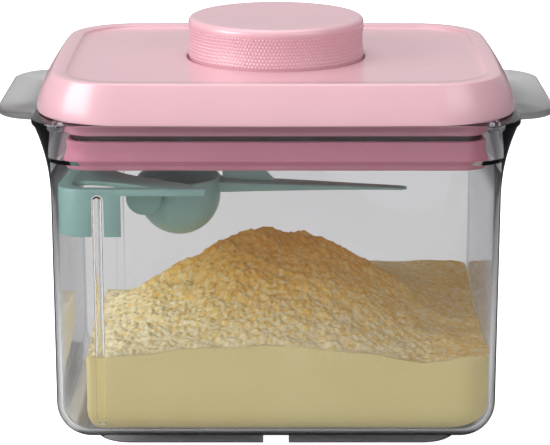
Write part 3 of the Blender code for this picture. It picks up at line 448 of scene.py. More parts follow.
def lid_plastic():
    """The lid's pink, with painted shade: a deeper rose on the collar below the tub's rim, where the light
    inside the tub is dim.
    """
    material = moulded("pink_satin_plastic", linear(236, 186, 196), 0.34, 0.012)
    tree = material.node_tree
    shader = tree.nodes["Principled BSDF"]
    cloud = shader.inputs["Base Color"].links[0].from_socket
    place = next(node for node in tree.nodes if node.type == "TEX_COORD").outputs["Object"]
    split = tree.nodes.new("ShaderNodeSeparateXYZ")
    tree.links.new(place, split.inputs["Vector"])
    collar_painted_shade_band = tree.nodes.new("ShaderNodeMapRange")
    collar_painted_shade_band.inputs["From Min"].default_value = RIM_Z - 0.0012
    collar_painted_shade_band.inputs["From Max"].default_value = RIM_Z - 0.0002
    tree.links.new(split.outputs["Z"], collar_painted_shade_band.inputs["Value"])
    colour = tree.nodes.new("ShaderNodeMix")
    colour.data_type = "RGBA"
    # Colour A, the deeper rose below the rim, is painted shade on the collar inside the tub.
    colour.inputs["A"].default_value = (0.66, 0.28, 0.35, 1.0)
    tree.links.new(collar_painted_shade_band.outputs["Result"], colour.inputs["Factor"])
    tree.links.new(cloud, colour.inputs["B"])
    tree.links.new(colour.outputs["Result"], shader.inputs["Base Color"])
    shader.inputs["Coat Weight"].default_value = COAT_WEIGHT
    shader.inputs["Coat Roughness"].default_value = COAT_ROUGHNESS
    return material


def button_plastic():
    """The lid's pink, with painted shade deepening it in the gaps between the raised dots, so the dots look
    paler.
    """
    material = moulded("pink_button_plastic", linear(236, 186, 196), 0.34, 0.012)
    tree = material.node_tree
    shader = tree.nodes["Principled BSDF"]
    cloud = shader.inputs["Base Color"].links[0].from_socket
    painted_dot_shading = tree.nodes.new("ShaderNodeAttribute")
    painted_dot_shading.attribute_name = "painted_dot_shading"
    shade = tree.nodes.new("ShaderNodeValToRGB")
    elements = shade.color_ramp.elements
    # Low values, in the gaps between the dots, darken the pink: painted shade.
    elements[0].color = (0.86, 0.78, 0.80, 1.0)
    elements[1].color = (1.0, 1.0, 1.0, 1.0)
    tree.links.new(painted_dot_shading.outputs["Fac"], shade.inputs["Fac"])
    mix = tree.nodes.new("ShaderNodeMix")
    mix.data_type, mix.blend_type = "RGBA", "MULTIPLY"
    mix.inputs["Factor"].default_value = 1.0
    tree.links.new(cloud, mix.inputs["A"])
    tree.links.new(shade.outputs["Color"], mix.inputs["B"])
    tree.links.new(mix.outputs["Result"], shader.inputs["Base Color"])
    shader.inputs["Coat Weight"].default_value = COAT_WEIGHT
    shader.inputs["Coat Roughness"].default_value = COAT_ROUGHNESS
    return material


# The fourth value of each call is the painted edge shade colour, darker than the smoky tint.
CLEAR = clear_plastic("clear_smoky_plastic", (0.875, 0.875, 0.885), (0.06, 0.06, 0.07), 0.50, 12.0, 0.01)
CLEAR_EAR = clear_plastic("clear_ear_plastic", (0.93, 0.93, 0.935), (0.40, 0.40, 0.42), 0.90, 6.0, 0.28)
PINK = lid_plastic()
PINK_BUTTON = button_plastic()
ROSE = moulded("rose_plastic", (0.58, 0.22, 0.29), 0.38, 0.02)
# Near-black rose for the lid pan: the rose hue is the plastic's, its darkness is painted shade for the
# shaded slot between collar and gasket.
ROSE_PAINTED_SHADE = moulded("rose_plastic_painted_shade", (0.035, 0.004, 0.005), 0.45, 0.05)
SILICONE = moulded("silicone_seal", (0.66, 0.25, 0.34), 0.5, 0.03, ior=1.42)
GREEN = moulded("grey_green_plastic", linear(143, 181, 173), 0.36, 0.03)
WHITE = moulded("white_plastic", (0.80, 0.80, 0.80), 0.4, 0.02)
STEEL = metal("bright_steel", (0.62, 0.62, 0.64), 0.24)
POWDER = powder_material()


def finish_piece(obj, body, node, material, degrees=32.0):
    """Give a piece its material and say what it rides on and stands for."""
    obj.data.materials.clear()
    obj.data.materials.append(material)
    smooth(obj, degrees)
    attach(obj, body)
    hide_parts(node)
    return obj


# ------------------------------------------------------------------ tub
def tub_profile():
    rings = fillet_rings(BODY_X, BODY_Y, BODY_CORNER, FOOT, FILLET)
    lip_z = RIM_Z - RIM_THICKNESS
    start = lip_z - FLARE_HEIGHT
    steps = 14
    for step in range(steps + 1):
        share = step / steps
        rings.append((BODY_X + FLARE * share ** 2.2, BODY_Y, BODY_CORNER,
                      start + (FLARE_HEIGHT - 0.0004) * share))
    lip = (BODY_X + FLARE + 0.0008, BODY_Y + RIM_LIP, BODY_CORNER + RIM_LIP)
    for inset, height in ((0.0002, lip_z), (0.0, lip_z + 0.0005), (0.0, RIM_Z - 0.0004),
                          (0.0001, RIM_Z - 0.0001), (0.0004, RIM_Z)):
        rings.append((lip[0] - inset, lip[1] - inset, lip[2] - inset, height))
    return rings


def ear_profile():
    under = RIM_Z - EAR_THICKNESS
    root = BODY_X + FLARE * 0.82 - EAR_HALF_X
    coarse = [(root, -0.0034), (root + 0.0012, -0.0018), (root + 0.0042, -0.0006), (-0.0070, -0.0001),
              (-0.0016, 0.0), (-0.0001, 0.0004), (0.0, 0.0014), (-0.0001, EAR_THICKNESS - 0.0004),
              (-0.0009, EAR_THICKNESS)]
    rings = []
    for inset, rise in chaikin(coarse, 1):
        narrow = max(inset, -0.008)
        rings.append((EAR_HALF_X + inset, EAR_HALF_Y + narrow, EAR_CORNER + 0.5 * narrow, under + rise))
    return rings


def build_tub():
    tub = loft("tub", tub_profile())
    foot_x, foot_y, foot_corner, foot_wall = BODY_X - 0.0130, BODY_Y - 0.0130, 0.0120, 0.0020
    foot = loft("foot", [(foot_x - 0.0003, foot_y - 0.0003, foot_corner, 0.0),
                         (foot_x, foot_y, foot_corner, 0.0003), (foot_x, foot_y, foot_corner, 0.0052)])
    cut(foot, loft("foot_inside", [(foot_x - foot_wall, foot_y - foot_wall, foot_corner - foot_wall, -0.002),
                                   (foot_x - foot_wall, foot_y - foot_wall, foot_corner - foot_wall,
                                    FOOT + 0.0002)]))
    cut(foot, box("notch", (-0.0045, -BODY_Y, -0.001), (0.0045, BODY_Y, FOOT * 0.9)))
    join(tub, foot)
    mouth = (CAVITY_X + LEDGE, CAVITY_Y + LEDGE, CAVITY_CORNER + LEDGE)
    ledge_z = RIM_Z - LEDGE_DROP
    cavity = fillet_rings(CAVITY_X, CAVITY_Y, CAVITY_CORNER, FLOOR_Z, FILLET - WALL)
    cavity += [(CAVITY_X, CAVITY_Y, CAVITY_CORNER, ledge_z), (*mouth, ledge_z + 2 * LEDGE),
               (*mouth, RIM_Z - 0.0005), (mouth[0] + 0.0004, mouth[1] + 0.0004, mouth[2] + 0.0004, RIM_Z),
               (mouth[0] + 0.0004, mouth[1] + 0.0004, mouth[2] + 0.0004, RIM_Z + 0.002)]
    cut(tub, loft("cavity", cavity))
    rail_top = RIM_Z - RAIL_DROP
    radius = RAIL_DEPTH
    for side in (-1, 1):
        dome = [(0.0, rail_top)]
        dome += [(radius * math.sin(math.radians(angle)),
                  rail_top - radius * (1 - math.cos(math.radians(angle)))) for angle in range(15, 91, 15)]
        dome += [(radius, FOOT + 0.62 * FILLET), (0.0, FOOT + 0.62 * FILLET)]
        join(tub, turned("rail", dome, RAIL_X, side * (CAVITY_Y + 0.0001), 32))
    return finish_piece(tub, "tub", "container_body", CLEAR, 24.0)


def build_ears():
    """Grip ears of the tub, each moulded on from the flared end wall outwards."""
    for side, label in ((-1, "left"), (1, "right")):
        ear = loft(f"ear_{label}", ear_profile())
        grown = [(ring_x + 0.00004, ring_y, corner, height)
                 for ring_x, ring_y, corner, height in tub_profile()]
        cut(ear, loft("wall", grown))
        cut(ear, box("rim", (-BODY_X, -BODY_Y, RIM_Z - 0.02), (BODY_X, BODY_Y, RIM_Z + 0.01)))
        far = sorted((0.0, -side * 0.2))
        cut(ear, box("other_side", (far[0], -0.1, 0.0), (far[1], 0.1, 0.2)))
        finish_piece(ear, "tub", "container_body", CLEAR_EAR, 24.0)


# ------------------------------------------------------------------ powder
POWDER_STEP = 0.00045
RIDGE = ((-0.076, 0.0335), (-0.063, 0.0370), (-0.054, 0.0420), (-0.0445, 0.0490), (-0.028, 0.0565),
         (-0.022, 0.0608), (-0.015, 0.0652), (-0.004, 0.0676), (0.003, 0.0662), (0.0105, 0.0655),
         (0.018, 0.0635), (0.025, 0.0595), (0.034, 0.0535), (0.045, 0.0465), (0.055, 0.0405),
         (0.064, 0.0370), (0.076, 0.0365))
FRONT_LINE = ((-0.076, 0.0350), (-0.064, 0.0354), (-0.030, 0.0385), (0.0, 0.0405), (0.023, 0.0380),
              (0.051, 0.0340), (0.062, 0.0352), (0.076, 0.0360))
BACK_LINE = ((-0.076, 0.0265), (-0.040, 0.0275), (0.0, 0.0330), (0.030, 0.0375), (0.076, 0.0393))


def along(line, x):
    return np.interp(x, [point[0] for point in line], [point[1] for point in line])


def lattice_noise(x, y, size, seed):
    """Smooth value noise in -1..1 with the given cell size, the same on each run."""
    u, v = x / size, y / size
    cell_u, cell_v = np.floor(u), np.floor(v)
    part_u, part_v = u - cell_u, v - cell_v
    part_u, part_v = (part * part * (3 - 2 * part) for part in (part_u, part_v))

    def corner(shift_u, shift_v):
        wave = np.sin((cell_u + shift_u) * 127.1 + (cell_v + shift_v) * 311.7 + seed * 74.7) * 43758.5453
        return (wave - np.floor(wave)) * 2 - 1

    low = corner(0, 0) * (1 - part_u) + corner(1, 0) * part_u
    high = corner(0, 1) * (1 - part_u) + corner(1, 1) * part_u
    return low * (1 - part_v) + high * part_v


def powder_surface(x, y, room_y):
    """Height of the powder, and how crumbly it is there."""
    front = np.clip((y + room_y) / room_y, 0, 1)
    rear = np.clip((room_y - y) / room_y, 0, 1)
    climb = np.where(y < 0, front, rear)
    climb = climb ** 1.08
    edge = np.where(y < 0, along(FRONT_LINE, x), along(BACK_LINE, x))
    height = edge + (along(RIDGE, x) - edge) * climb
    wander = 0.0007 * lattice_noise(x, y, 0.011, 1) + 0.0004 * lattice_noise(x, y, 0.005, 2)
    heap = np.clip((0.052 - x - 0.25 * y) / 0.012, 0.22, 1.0)
    inner = np.clip(np.minimum(y + room_y, room_y - y) / 0.0015, 0, 1)
    lumps = (0.00040 * lattice_noise(x, y, 0.0048, 3) + 0.00034 * lattice_noise(x, y, 0.0023, 4)
             + 0.00040 * lattice_noise(x, y, 0.0013, 5) + 0.00034 * lattice_noise(x, y, 0.0009, 6))
    return height + wander + lumps * heap * inner, inner


def build_powder():
    """Powder filling the tub's lower half: smooth where it lies on the walls, crumbly on top."""
    room_x, room_y = CAVITY_X - 0.0004, CAVITY_Y - 0.0003
    corner = CAVITY_CORNER
    rows = int(2 * room_y / POWDER_STEP)
    columns = int(2 * room_x / POWDER_STEP)
    y = np.linspace(-room_y, room_y, rows + 1)[:, None]
    over = np.clip(np.abs(y) - (room_y - corner), 0, corner)
    reach = room_x - corner + np.sqrt(corner ** 2 - over ** 2)
    share = np.linspace(0, 1, columns + 1)[None, :]
    left = np.minimum(reach, POWDER_LEFT)
    x = -left + (left + reach) * share
    y = y + 0 * x
    z, crumb = powder_surface(x, y, room_y)
    points = [tuple(point) for point in np.stack((x, y, z), axis=-1).reshape(-1, 3)]
    crumbs = list(crumb.reshape(-1))
    wide = columns + 1
    faces = [(row * wide + column, row * wide + column + 1, (row + 1) * wide + column + 1,
              (row + 1) * wide + column) for row in range(rows) for column in range(columns)]
    edge = ([column for column in range(columns)] + [row * wide + columns for row in range(rows)]
            + [rows * wide + column for column in range(columns, 0, -1)]
            + [row * wide for row in range(rows, 0, -1)])
    fillet = FILLET - WALL
    levels = [(0.0, 0.80), (0.0, 0.4)]
    levels += [(fillet * (1 - math.cos(math.radians(angle))), -math.sin(math.radians(angle)))
               for angle in range(0, 91, 15)]
    above = edge
    base = FLOOR_Z + 0.0004
    for inset, level in levels:
        ring = []
        for index in edge:
            px, py, pz = points[index]
            if level >= 0:
                place = (px, py, base + fillet + (pz - base - fillet) * level)
            else:
                place = (px * (1 - inset / room_x), py * (1 - inset / room_y), base + fillet * (1 + level))
            ring.append(len(points))
            points.append(place)
            crumbs.append(0.0)
        for number in range(len(edge)):
            following = (number + 1) % len(edge)
            faces.append((above[following], above[number], ring[number], ring[following]))
        above = ring
    faces.append(tuple(above))
    mesh = bpy.data.meshes.new("powder")
    mesh.from_pydata(points, [], faces)
    mesh.attributes.new("crumb", "FLOAT", "POINT").data.foreach_set("value", crumbs)
    powder = add_object("powder", mesh)
    return finish_piece(powder, "tub", "formula_powder", POWDER, 60.0)


# ------------------------------------------------------------------ leveller and scoop
def build_leveller():
    half_x, half_y = leveller_low[0] * -1, leveller_high[1]
    corner = CAVITY_CORNER - 0.0004
    top, skirt_z = leveller_high[2], leveller_low[2]
    strip_z = top - 0.0024
    skirt, plate = 0.0018, 0.0016
    end_x = leveller_high[0]
    leveller = loft("leveller_frame", [(half_x, half_y, corner, skirt_z), (half_x, half_y, corner, top)])
    inner = (half_x - skirt, half_y - skirt, corner - skirt)
    cut(leveller, loft("hollow", [(*inner, skirt_z - 0.001), (*inner, top - plate)]))
    big = 0.2
    cut(leveller, box("skirt_end", (-0.0525, -big, skirt_z - 0.001), (big, big, strip_z)))
    cut(leveller, box("strip_end", (end_x, -big, skirt_z - 0.001), (big, big, top + 0.001)))
    edge = half_y - 0.0026
    coarse = [(end_x + 0.01, edge), (end_x - 0.003, edge), (-0.0310, half_y - 0.0085),
              (-0.0390, half_y - 0.0125), (-0.0475, half_y - 0.0185), (-0.0560, half_y - 0.0260),
              (-0.0605, half_y - 0.0380)]
    opening = coarse + [(x, -y) for x, y in reversed(coarse)]
    opening = coarse[:1] + chaikin(opening[1:-1], 2) + [(coarse[0][0], -coarse[0][1])]
    cut(leveller, prism("opening", opening, skirt_z - 0.002, top + 0.002))
    for side in (-1, 1):
        lens = chaikin([(-0.0440, 0.0031), (-0.0480, 0.0060), (-0.0535, 0.0088), (-0.0595, 0.0110),
                        (-0.0650, 0.0122), (-0.0690, 0.0112), (-0.0696, 0.0078), (-0.0655, 0.0031)], 2)
        cut(leveller, prism("window", [(x, side * (half_y - y)) for x, y in lens], top - 0.003,
                            top + 0.002))
        slot = sorted((side * (half_y + 0.001), side * (half_y - skirt - 0.0004)))
        rail_top = RIM_Z - RAIL_DROP + 0.0003
        half = RAIL_WIDTH / 2 + 0.0005
        arch = [(RAIL_X - half, skirt_z - 0.001)]
        arch += [(RAIL_X - half * math.cos(math.pi * step / 12),
                  rail_top - half + half * math.sin(math.pi * step / 12)) for step in range(13)]
        arch += [(RAIL_X + half, skirt_z - 0.001)]
        cut(leveller, prism("slot", arch, *slot, upright=True))
        middle = (-0.0455, side * (half_y - 0.0166))
        radius, finger_z = 0.0061, top - 0.0072
        outline = [(middle[0] + radius, top - 0.0004)]
        outline += [(middle[0] + radius * math.cos(math.radians(angle)),
                     finger_z + radius * math.sin(math.radians(angle))) for angle in range(0, -181, -10)]
        outline += [(middle[0] - radius, top - 0.0004)]
        join(leveller, prism("finger", outline, middle[1] - 0.0008, middle[1] + 0.0008, upright=True))
    soften(leveller, 0.00025)
    return finish_piece(leveller, "leveller", "leveller", GREEN)


def build_scoop():
    outer, inner = BOWL_RADIUS, BOWL_RADIUS - BOWL_WALL
    profile = [(inner * math.sin(math.radians(a)), BOWL_CENTRE - inner * math.cos(math.radians(a)))
               for a in range(0, 91, 6)]
    profile += [(inner, BOWL_RIM - 0.0004), (inner + 0.0002, BOWL_RIM - 0.0001), (inner + 0.0005, BOWL_RIM),
                (outer - 0.0003, BOWL_RIM), (outer, BOWL_RIM - 0.0004)]
    profile += [(outer * math.sin(math.radians(a)), BOWL_CENTRE - outer * math.cos(math.radians(a)))
                for a in range(90, -1, -6)]
    scoop = turned("scoop_bowl", profile, BOWL_X, BOWL_Y, 96)
    root_x = BOWL_X + BOWL_RADIUS - BOWL_WALL / 2
    top = BOWL_RIM - 0.0008
    bm = bmesh.new()
    loops = []
    steps = 40
    for step in range(steps + 1):
        share = step / steps
        x = root_x + (HANDLE_TIP_X - 0.0001 - root_x) * share
        round_tip = math.sqrt(max(1.0 - max(0.0, (share - 0.965) / 0.035) ** 2, 0.05))
        half_width = (0.0050 - 0.0032 * share) * round_tip
        upper = top - 0.0035 * share
        thick = 0.0038 * (1 - share) ** 1.3 + 0.0010
        loop = []
        for corner in range(16):
            angle = 2 * math.pi * corner / 16
            side = math.copysign(abs(math.cos(angle)) ** 0.5, math.cos(angle))
            rise = math.copysign(abs(math.sin(angle)) ** 0.5, math.sin(angle))
            loop.append(bm.verts.new((x, BOWL_Y + half_width * side, upper - thick / 2 + thick / 2 * rise)))
        loops.append(loop)
    for low, high in zip(loops, loops[1:]):
        for index in range(16):
            following = (index + 1) % 16
            bm.faces.new((low[index], low[following], high[following], high[index]))
    bm.faces.new(loops[0])
    bm.faces.new(loops[-1])
    join(scoop, from_bmesh("handle", bm))
    fin_top = scoop_high[2]
    fin = [(root_x + 0.0014, top - 0.0012), (root_x + 0.0200, top - 0.0014),
           (root_x + 0.0124, fin_top), (root_x + 0.0014, fin_top)]
    join(scoop, prism("fin", fin, BOWL_Y - 0.0012, BOWL_Y + 0.0012, upright=True))
    return finish_piece(scoop, "scoop", "scoop", GREEN)


# ------------------------------------------------------------------ lid
def cover_ring(share, inset, height, bow):
    return (LID_X - LID_TAPER_X * share - inset, LID_Y - LID_TAPER_Y * share - inset,
            LID_CORNER - 0.0065 * share - 0.8 * inset, height, LID_BOW * bow)


def build_cover():
    tall = LID_TOP - LID_LOW
    skirt = [(0.0, 0.0003, LID_LOW, 1.0), (0.0, 0.0, LID_LOW + 0.0006, 1.0),
             (0.08, 0.0, LID_LOW + tall * 0.28, 1.0), (0.34, 0.0, LID_LOW + tall * 0.58, 0.9),
             (0.74, 0.0, LID_LOW + tall * 0.86, 0.8), (0.93, 0.0, LID_TOP - 0.0007, 0.7)]
    border = [(0.985, 0.0, LID_TOP - 0.00035, 0.65), (1.0, 0.0004, LID_TOP - 0.0001, 0.6),
              (1.0, 0.0009, LID_TOP, 0.6), (1.0, LID_BORDER - 0.0013, LID_TOP, 0.5),
              (1.0, LID_BORDER - 0.0009, LID_TOP - 0.0002, 0.5),
              (1.0, LID_BORDER - 0.0004, RECESS_Z + 0.0002, 0.5),
              (1.0, LID_BORDER, RECESS_Z, 0.5), (1.0, LID_BORDER + 0.0020, RECESS_Z, 0.5)]
    cover = loft("cover", [cover_ring(*point) for point in chaikin(skirt, 2) + border], 20, 12)
    low = COVER_WALL
    under = RECESS_Z - COVER_WALL
    cut(cover, loft("inside", [(LID_X - low, LID_Y - low, LID_CORNER - low, LID_LOW - 0.001, LID_BOW),
                               (LID_X - low - 0.0004, LID_Y - low, LID_CORNER - low,
                                LID_LOW + tall * 0.28, LID_BOW),
                               (LID_X - 0.34 * LID_TAPER_X - low - 0.0006,
                                LID_Y - 0.34 * LID_TAPER_Y - low, LID_CORNER - low - 0.0022,
                                LID_LOW + tall * 0.55, LID_BOW),
                               (LID_X - 0.8 * LID_TAPER_X - low - 0.001,
                                LID_Y - 0.8 * LID_TAPER_Y - low - 0.001, LID_CORNER - low - 0.0052,
                                under, 0.0)], 20, 12))
    collar = loft("collar", [(PLUG_X - 0.0004, PLUG_Y - 0.0004, PLUG_CORNER, COLLAR_Z),
                             (PLUG_X, PLUG_Y, PLUG_CORNER, COLLAR_Z + 0.0004),
                             (PLUG_X, PLUG_Y, PLUG_CORNER, under + 0.0008)])
    thin = COLLAR_WALL
    cut(collar, loft("bore", [(PLUG_X - thin, PLUG_Y - thin, PLUG_CORNER - thin, COLLAR_Z - 0.001),
                              (PLUG_X - thin, PLUG_Y - thin, PLUG_CORNER - thin, under + 0.002)]))
    join(cover, collar)
    cut(cover, cylinder("hole", 0, 0, HOLE_RADIUS, under - 0.002, LID_TOP + 0.002, 160))
    ring = turned("ring_cut", [(0.0, RECESS_Z + 0.002), (HOLE_RADIUS + 0.0008, RECESS_Z + 0.002),
                               (HOLE_RADIUS + 0.0006, RECESS_Z), (HOLE_RADIUS + 0.0002, RECESS_Z - 0.0003),
                               (HOLE_RADIUS - 0.001, RECESS_Z - 0.0006), (0.0, RECESS_Z - 0.0006)],
                  0, 0, 160)
    cut(cover, ring)
    return finish_piece(cover, "lid", "lid_cover", PINK, 28.0)


def build_gasket():
    mid = 0.0005
    low, high = gasket_low[2], gasket_high[2] + GASKET_RAISED
    rings = [(PLUG_X - 0.0007, PLUG_Y - 0.0007, PLUG_CORNER, low),
             (PLUG_X - 0.0001, PLUG_Y - 0.0001, PLUG_CORNER, low + 0.0003),
             (PLUG_X, PLUG_Y, PLUG_CORNER, low + 0.0009),
             (PLUG_X - mid * 0.6, PLUG_Y - mid * 0.6, PLUG_CORNER, low + 0.0020),
             (PLUG_X - mid, PLUG_Y - mid, PLUG_CORNER, (low + high) / 2),
             (PLUG_X - mid * 0.6, PLUG_Y - mid * 0.6, PLUG_CORNER, high - 0.0020),
             (PLUG_X, PLUG_Y, PLUG_CORNER, high - 0.0009),
             (PLUG_X - 0.0001, PLUG_Y - 0.0001, PLUG_CORNER, high - 0.0003),
             (PLUG_X - 0.0007, PLUG_Y - 0.0007, PLUG_CORNER, high)]
    gasket = loft("gasket_ring", rings)
    wide = 0.0048
    thin = 0.0011
    cut(gasket, loft("bore", [(PLUG_X - wide, PLUG_Y - wide, PLUG_CORNER - wide, low - 0.001),
                              (PLUG_X - wide, PLUG_Y - wide, PLUG_CORNER - wide, high - 0.0030),
                              (PLUG_X - thin, PLUG_Y - thin, PLUG_CORNER - thin, high),
                              (PLUG_X - thin, PLUG_Y - thin, PLUG_CORNER - thin, high + 0.001)]))
    finish_piece(gasket, "lid", "gasket", SILICONE, 50.0)
    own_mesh(gasket)


def build_clamp():
    half_x, half_y = clamp_high[0], clamp_high[1]
    low, high = 0.1012, 0.1037
    rings = [(half_x - 0.0012, half_y - 0.0012, PLUG_CORNER - 0.0012, low),
             (half_x - 0.0005, half_y - 0.0005, PLUG_CORNER - 0.0005, low + 0.0001),
             (half_x - 0.0001, half_y - 0.0001, PLUG_CORNER - 0.0001, low + 0.0005),
             (half_x, half_y, PLUG_CORNER, low + 0.0010), (half_x, half_y, PLUG_CORNER, high - 0.0002),
             (half_x - 0.0002, half_y - 0.0002, PLUG_CORNER - 0.0002, high)]
    clamp = loft("clamp_disc", rings)
    for side_x in (-1, 1):
        for side_y in (-1, 1):
            y = side_y * 0.0110
            post = sorted((side_x * POST_X, side_x * (POST_X + 0.0022)))
            join(clamp, box("post", (post[0], y - 0.0025, high - 0.0005),
                            (post[1], y + 0.0025, HOOK_Z + 0.0018)))
            hook = sorted((side_x * (POST_X - 0.0020), side_x * (POST_X + 0.0004)))
            join(clamp, box("hook", (hook[0], y - 0.0025, HOOK_Z), (hook[1], y + 0.0025, HOOK_Z + 0.0018)))
    clip_x = BOWL_X + BOWL_RADIUS + 0.0022
    for side in (-1, 1):
        faces = sorted((BOWL_Y + side * 0.0015, BOWL_Y + side * 0.0031))
        join(clamp, box("clip", (clip_x, faces[0], BOWL_RIM + 0.0022),
                        (clip_x + 0.0100, faces[1], low + 0.0005)))
    return finish_piece(clamp, "clamp", "clamp_plate", ROSE)


def build_cap():
    """Button cap, with rows of fine raised dots on its side, and a painted shade value at each vertex that
    is low in the gaps between the dots.
    """
    dots, rows_of_dots, per_dot = 156, 9, 6
    sides = dots * per_dot
    outer, inner = BUTTON_RADIUS, BUTTON_RADIUS - 0.0016
    low, under = cap_low[2], BUTTON_TOP - 0.0020
    flange_top = low + 0.0015
    edge = 0.0019
    profile = [(0.0, BUTTON_TOP - 0.0004), (outer * 0.3, BUTTON_TOP - 0.00035),
               (outer * 0.6, BUTTON_TOP - 0.0002), (outer * 0.85, BUTTON_TOP)]
    for step in range(9):
        angle = math.pi / 2 * step / 8
        profile.append((outer - edge * (1 - math.sin(angle)), BUTTON_TOP - edge * (1 - math.cos(angle))))
    band_high, band_low = BUTTON_TOP - 0.0030, RECESS_Z + 0.0004
    count = rows_of_dots * 5
    band_start = len(profile)
    for step in range(count + 1):
        share = step / count
        z = band_high + (band_low - band_high) * share
        profile.append((outer - 0.00045 * math.sin(math.pi * min(share * 1.1, 1.0)) - 0.00015, z))
    band_end = len(profile)
    profile += [(outer - 0.0001, flange_top + 0.0003), (outer, flange_top), (FLANGE_RADIUS, flange_top),
                (FLANGE_RADIUS, low), (inner, low), (inner, under), (0.0, under)]
    bm = bmesh.new()
    shade = bm.verts.layers.float.new("painted_dot_shading")
    rows = []
    for number, (radius, height) in enumerate(profile):
        if radius < 1e-7:
            rows.append([bm.verts.new((0, 0, height))])
            rows[-1][0][shade] = 1.0
            continue
        row = []
        for i in range(sides):
            raised, painted_dot_shading = radius, 1.0
            if band_start <= number < band_end:
                line = (number - band_start) / 5.0
                shift = 0.5 if int(line) % 2 else 0.0
                across = (i / per_dot + shift) % 1.0 - 0.5
                up = line % 1.0 - 0.5
                lift = max(0.0, 1.0 - (across ** 2 + up ** 2) / 0.12)
                raised += DOT_HEIGHT * lift
                # Painted shade value: 1 on the dot tops, falling to 0 in the gaps between the dots.
                painted_dot_shading = min(1.0, 1.6 * lift)
            angle = 2 * math.pi * i / sides
            row.append(bm.verts.new((raised * math.cos(angle), raised * math.sin(angle), height)))
            row[-1][shade] = painted_dot_shading
        rows.append(row)
    for upper, lower in zip(rows, rows[1:]):
        for i in range(sides):
            j = (i + 1) % sides
            corners = [upper[i % len(upper)], upper[j % len(upper)],
                       lower[j % len(lower)], lower[i % len(lower)]]
            bm.faces.new(list(dict.fromkeys(corners)))
    cap = from_bmesh("cap", bm)
    return finish_piece(cap, "button", "button_cap", PINK_BUTTON, 40.0)


def build_spring():
    """Return spring under the button: round wire, its end coils laid flat."""
    wire, coils, per_coil, around = 0.0005, 6.5, 40, 10
    radius = spring_high[0] - wire
    low, high = spring_low[2] + wire, spring_high[2] - wire
    bm = bmesh.new()
    rows = []
    count = int(coils * per_coil)
    for step in range(count + 1):
        turn = step / per_coil
        share = min(max((turn - 0.8) / (coils - 1.6), 0.0), 1.0)
        angle = 2 * math.pi * turn
        row = []
        for i in range(around):
            side = 2 * math.pi * i / around
            reach = radius + wire * math.cos(side)
            row.append(bm.verts.new((reach * math.cos(angle), reach * math.sin(angle),
                                     low + (high - low) * share + wire * math.sin(side))))
        rows.append(row)
    for back, ahead in zip(rows, rows[1:]):
        for i in range(around):
            j = (i + 1) % around
            bm.faces.new((back[i], back[j], ahead[j], ahead[i]))
    bm.faces.new(rows[0][::-1])
    bm.faces.new(rows[-1])
    spring = from_bmesh("spring", bm)
    finish_piece(spring, "lid", "return_spring", STEEL, 60.0)
    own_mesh(spring)


# ------------------------------------------------------------------ frame nodes that stay
def dress_frame():
    for name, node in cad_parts.items():
        if name.startswith(("lid_screw", "pivot_pin")) or name == "latch_follower":
            material = STEEL
        elif name.startswith("lever_") or name == "button_stem":
            material = WHITE
        # The lid pan takes the near-black rose: painted shade in the slot under the collar.
        elif name == "lid_pan":
            material = ROSE_PAINTED_SHADE
        else:
            continue
        node.data.materials.clear()
        node.data.materials.append(material)


# ------------------------------------------------------------------ studio
def build_floor():
    """White sweep: lit white only for camera rays, dim in reflections and out to the sides."""
    bm = bmesh.new()
    bmesh.ops.create_circle(bm, cap_ends=True, segments=96, radius=4.0)
    floor = from_bmesh("studio_floor", bm)
    nodes = Nodes("white_floor")
    split = nodes.new("ShaderNodeSeparateXYZ")
    nodes.link(nodes.place, split.inputs["Vector"])
    across = nodes.new("ShaderNodeMath", operation="ABSOLUTE")
    nodes.link(split.outputs["X"], across.inputs[0])
    sweep = nodes.ramp(nodes.span(across.outputs[0], 0.14, 0.32, 0.0, 1.0),
                       ((0.0, (0.86, 0.86, 0.86)), (1.0, (0.10, 0.10, 0.11))))
    path = nodes.new("ShaderNodeLightPath")
    mirrored = nodes.new("ShaderNodeMath", operation="SUBTRACT", use_clamp=True)
    nodes.link(path.outputs["Is Glossy Ray"], mirrored.inputs[0])
    nodes.link(path.outputs["Is Transmission Ray"], mirrored.inputs[1])
    dim = nodes.new("ShaderNodeMix", data_type="RGBA")
    dim.inputs["B"].default_value = (0.10, 0.10, 0.11, 1.0)
    nodes.link(mirrored.outputs[0], dim.inputs["Factor"])
    nodes.link(sweep, dim.inputs["A"])
    nodes.link(dim.outputs["Result"], nodes.shader.inputs["Base Color"])
    nodes.set(Roughness=0.9, Specular_IOR_Level=0.1)
    white = nodes.new("ShaderNodeEmission")
    white.inputs["Color"].default_value = (1.0, 1.0, 1.0, 1.0)
    white.inputs["Strength"].default_value = 1.0
    both = nodes.new("ShaderNodeAddShader")
    nodes.link(nodes.shader.outputs["BSDF"], both.inputs[0])
    nodes.link(white.outputs["Emission"], both.inputs[1])
    mix = nodes.new("ShaderNodeMixShader")
    nodes.link(path.outputs["Is Camera Ray"], mix.inputs["Fac"])
    nodes.link(nodes.shader.outputs["BSDF"], mix.inputs[1])
    nodes.link(both.outputs["Shader"], mix.inputs[2])
    nodes.link(mix.outputs["Shader"], nodes.output.inputs["Surface"])
    floor.data.materials.append(nodes.material)


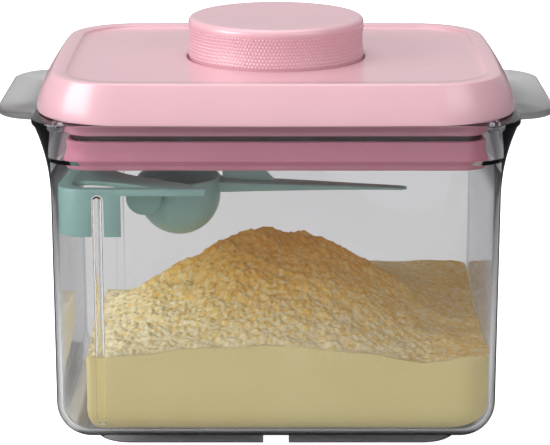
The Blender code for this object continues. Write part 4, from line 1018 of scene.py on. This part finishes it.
def softbox(name, place, target, size, power):
    light = bpy.data.lights.new(name, "AREA")
    light.shape = "RECTANGLE"
    light.size, light.size_y = size
    light.energy = power
    obj = bpy.data.objects.new(name, light)
    bpy.context.scene.collection.objects.link(obj)
    obj.location = place
    obj.rotation_euler = (Vector(target) - Vector(place)).to_track_quat("-Z", "Y").to_euler()
    return obj


def build_studio():
    world = bpy.data.worlds.new("studio")
    bpy.context.scene.world = world
    world.use_nodes = True
    tree = world.node_tree
    background = tree.nodes["Background"]
    direction = tree.nodes.new("ShaderNodeTexCoord").outputs["Generated"]
    split = tree.nodes.new("ShaderNodeSeparateXYZ")
    tree.links.new(direction, split.inputs["Vector"])
    across = tree.nodes.new("ShaderNodeMath")
    across.operation = "ABSOLUTE"
    tree.links.new(split.outputs["X"], across.inputs[0])
    ramp = tree.nodes.new("ShaderNodeValToRGB")
    ramp.color_ramp.elements[0].position = 0.35
    ramp.color_ramp.elements[0].color = (1, 1, 1, 1)
    ramp.color_ramp.elements[1].position = 0.85
    ramp.color_ramp.elements[1].color = (0.34, 0.34, 0.36, 1)
    tree.links.new(across.outputs[0], ramp.inputs["Fac"])
    tree.links.new(ramp.outputs["Color"], background.inputs["Color"])
    background.inputs["Strength"].default_value = 0.50
    softbox("key_light", (-1.05, -0.50, 0.46), (0, 0, 0.09), (0.8, 0.8), 11.5)
    softbox("top_light", (-0.1, 0.1, 1.3), (0, 0, 0.1), (1.4, 1.2), 8.0)
    softbox("fill_light", (0.9, -1.0, 0.6), (0, 0, 0.08), (0.9, 0.8), 4.4)


def build_camera():
    """Camera a little above the rim, looking straight at the front."""
    camera = bpy.data.cameras.new("camera")
    camera.sensor_width = 36.0
    camera.lens = 138.0
    camera.shift_x = -0.0018
    camera.clip_start = 0.01
    obj = bpy.data.objects.new("camera", camera)
    bpy.context.scene.collection.objects.link(obj)
    obj.location = (0.0, -0.7402, 0.2729)
    obj.rotation_euler = (math.radians(90.0 - 15.41), 0.0, 0.0)
    bpy.context.scene.camera = obj


bpy.context.scene.view_settings.view_transform = "Standard"
build_camera()
build_studio()
build_floor()
dress_frame()
build_tub()
build_ears()
build_powder()
build_leveller()
build_scoop()
build_cover()
build_gasket()
build_clamp()
build_cap()
build_spring()
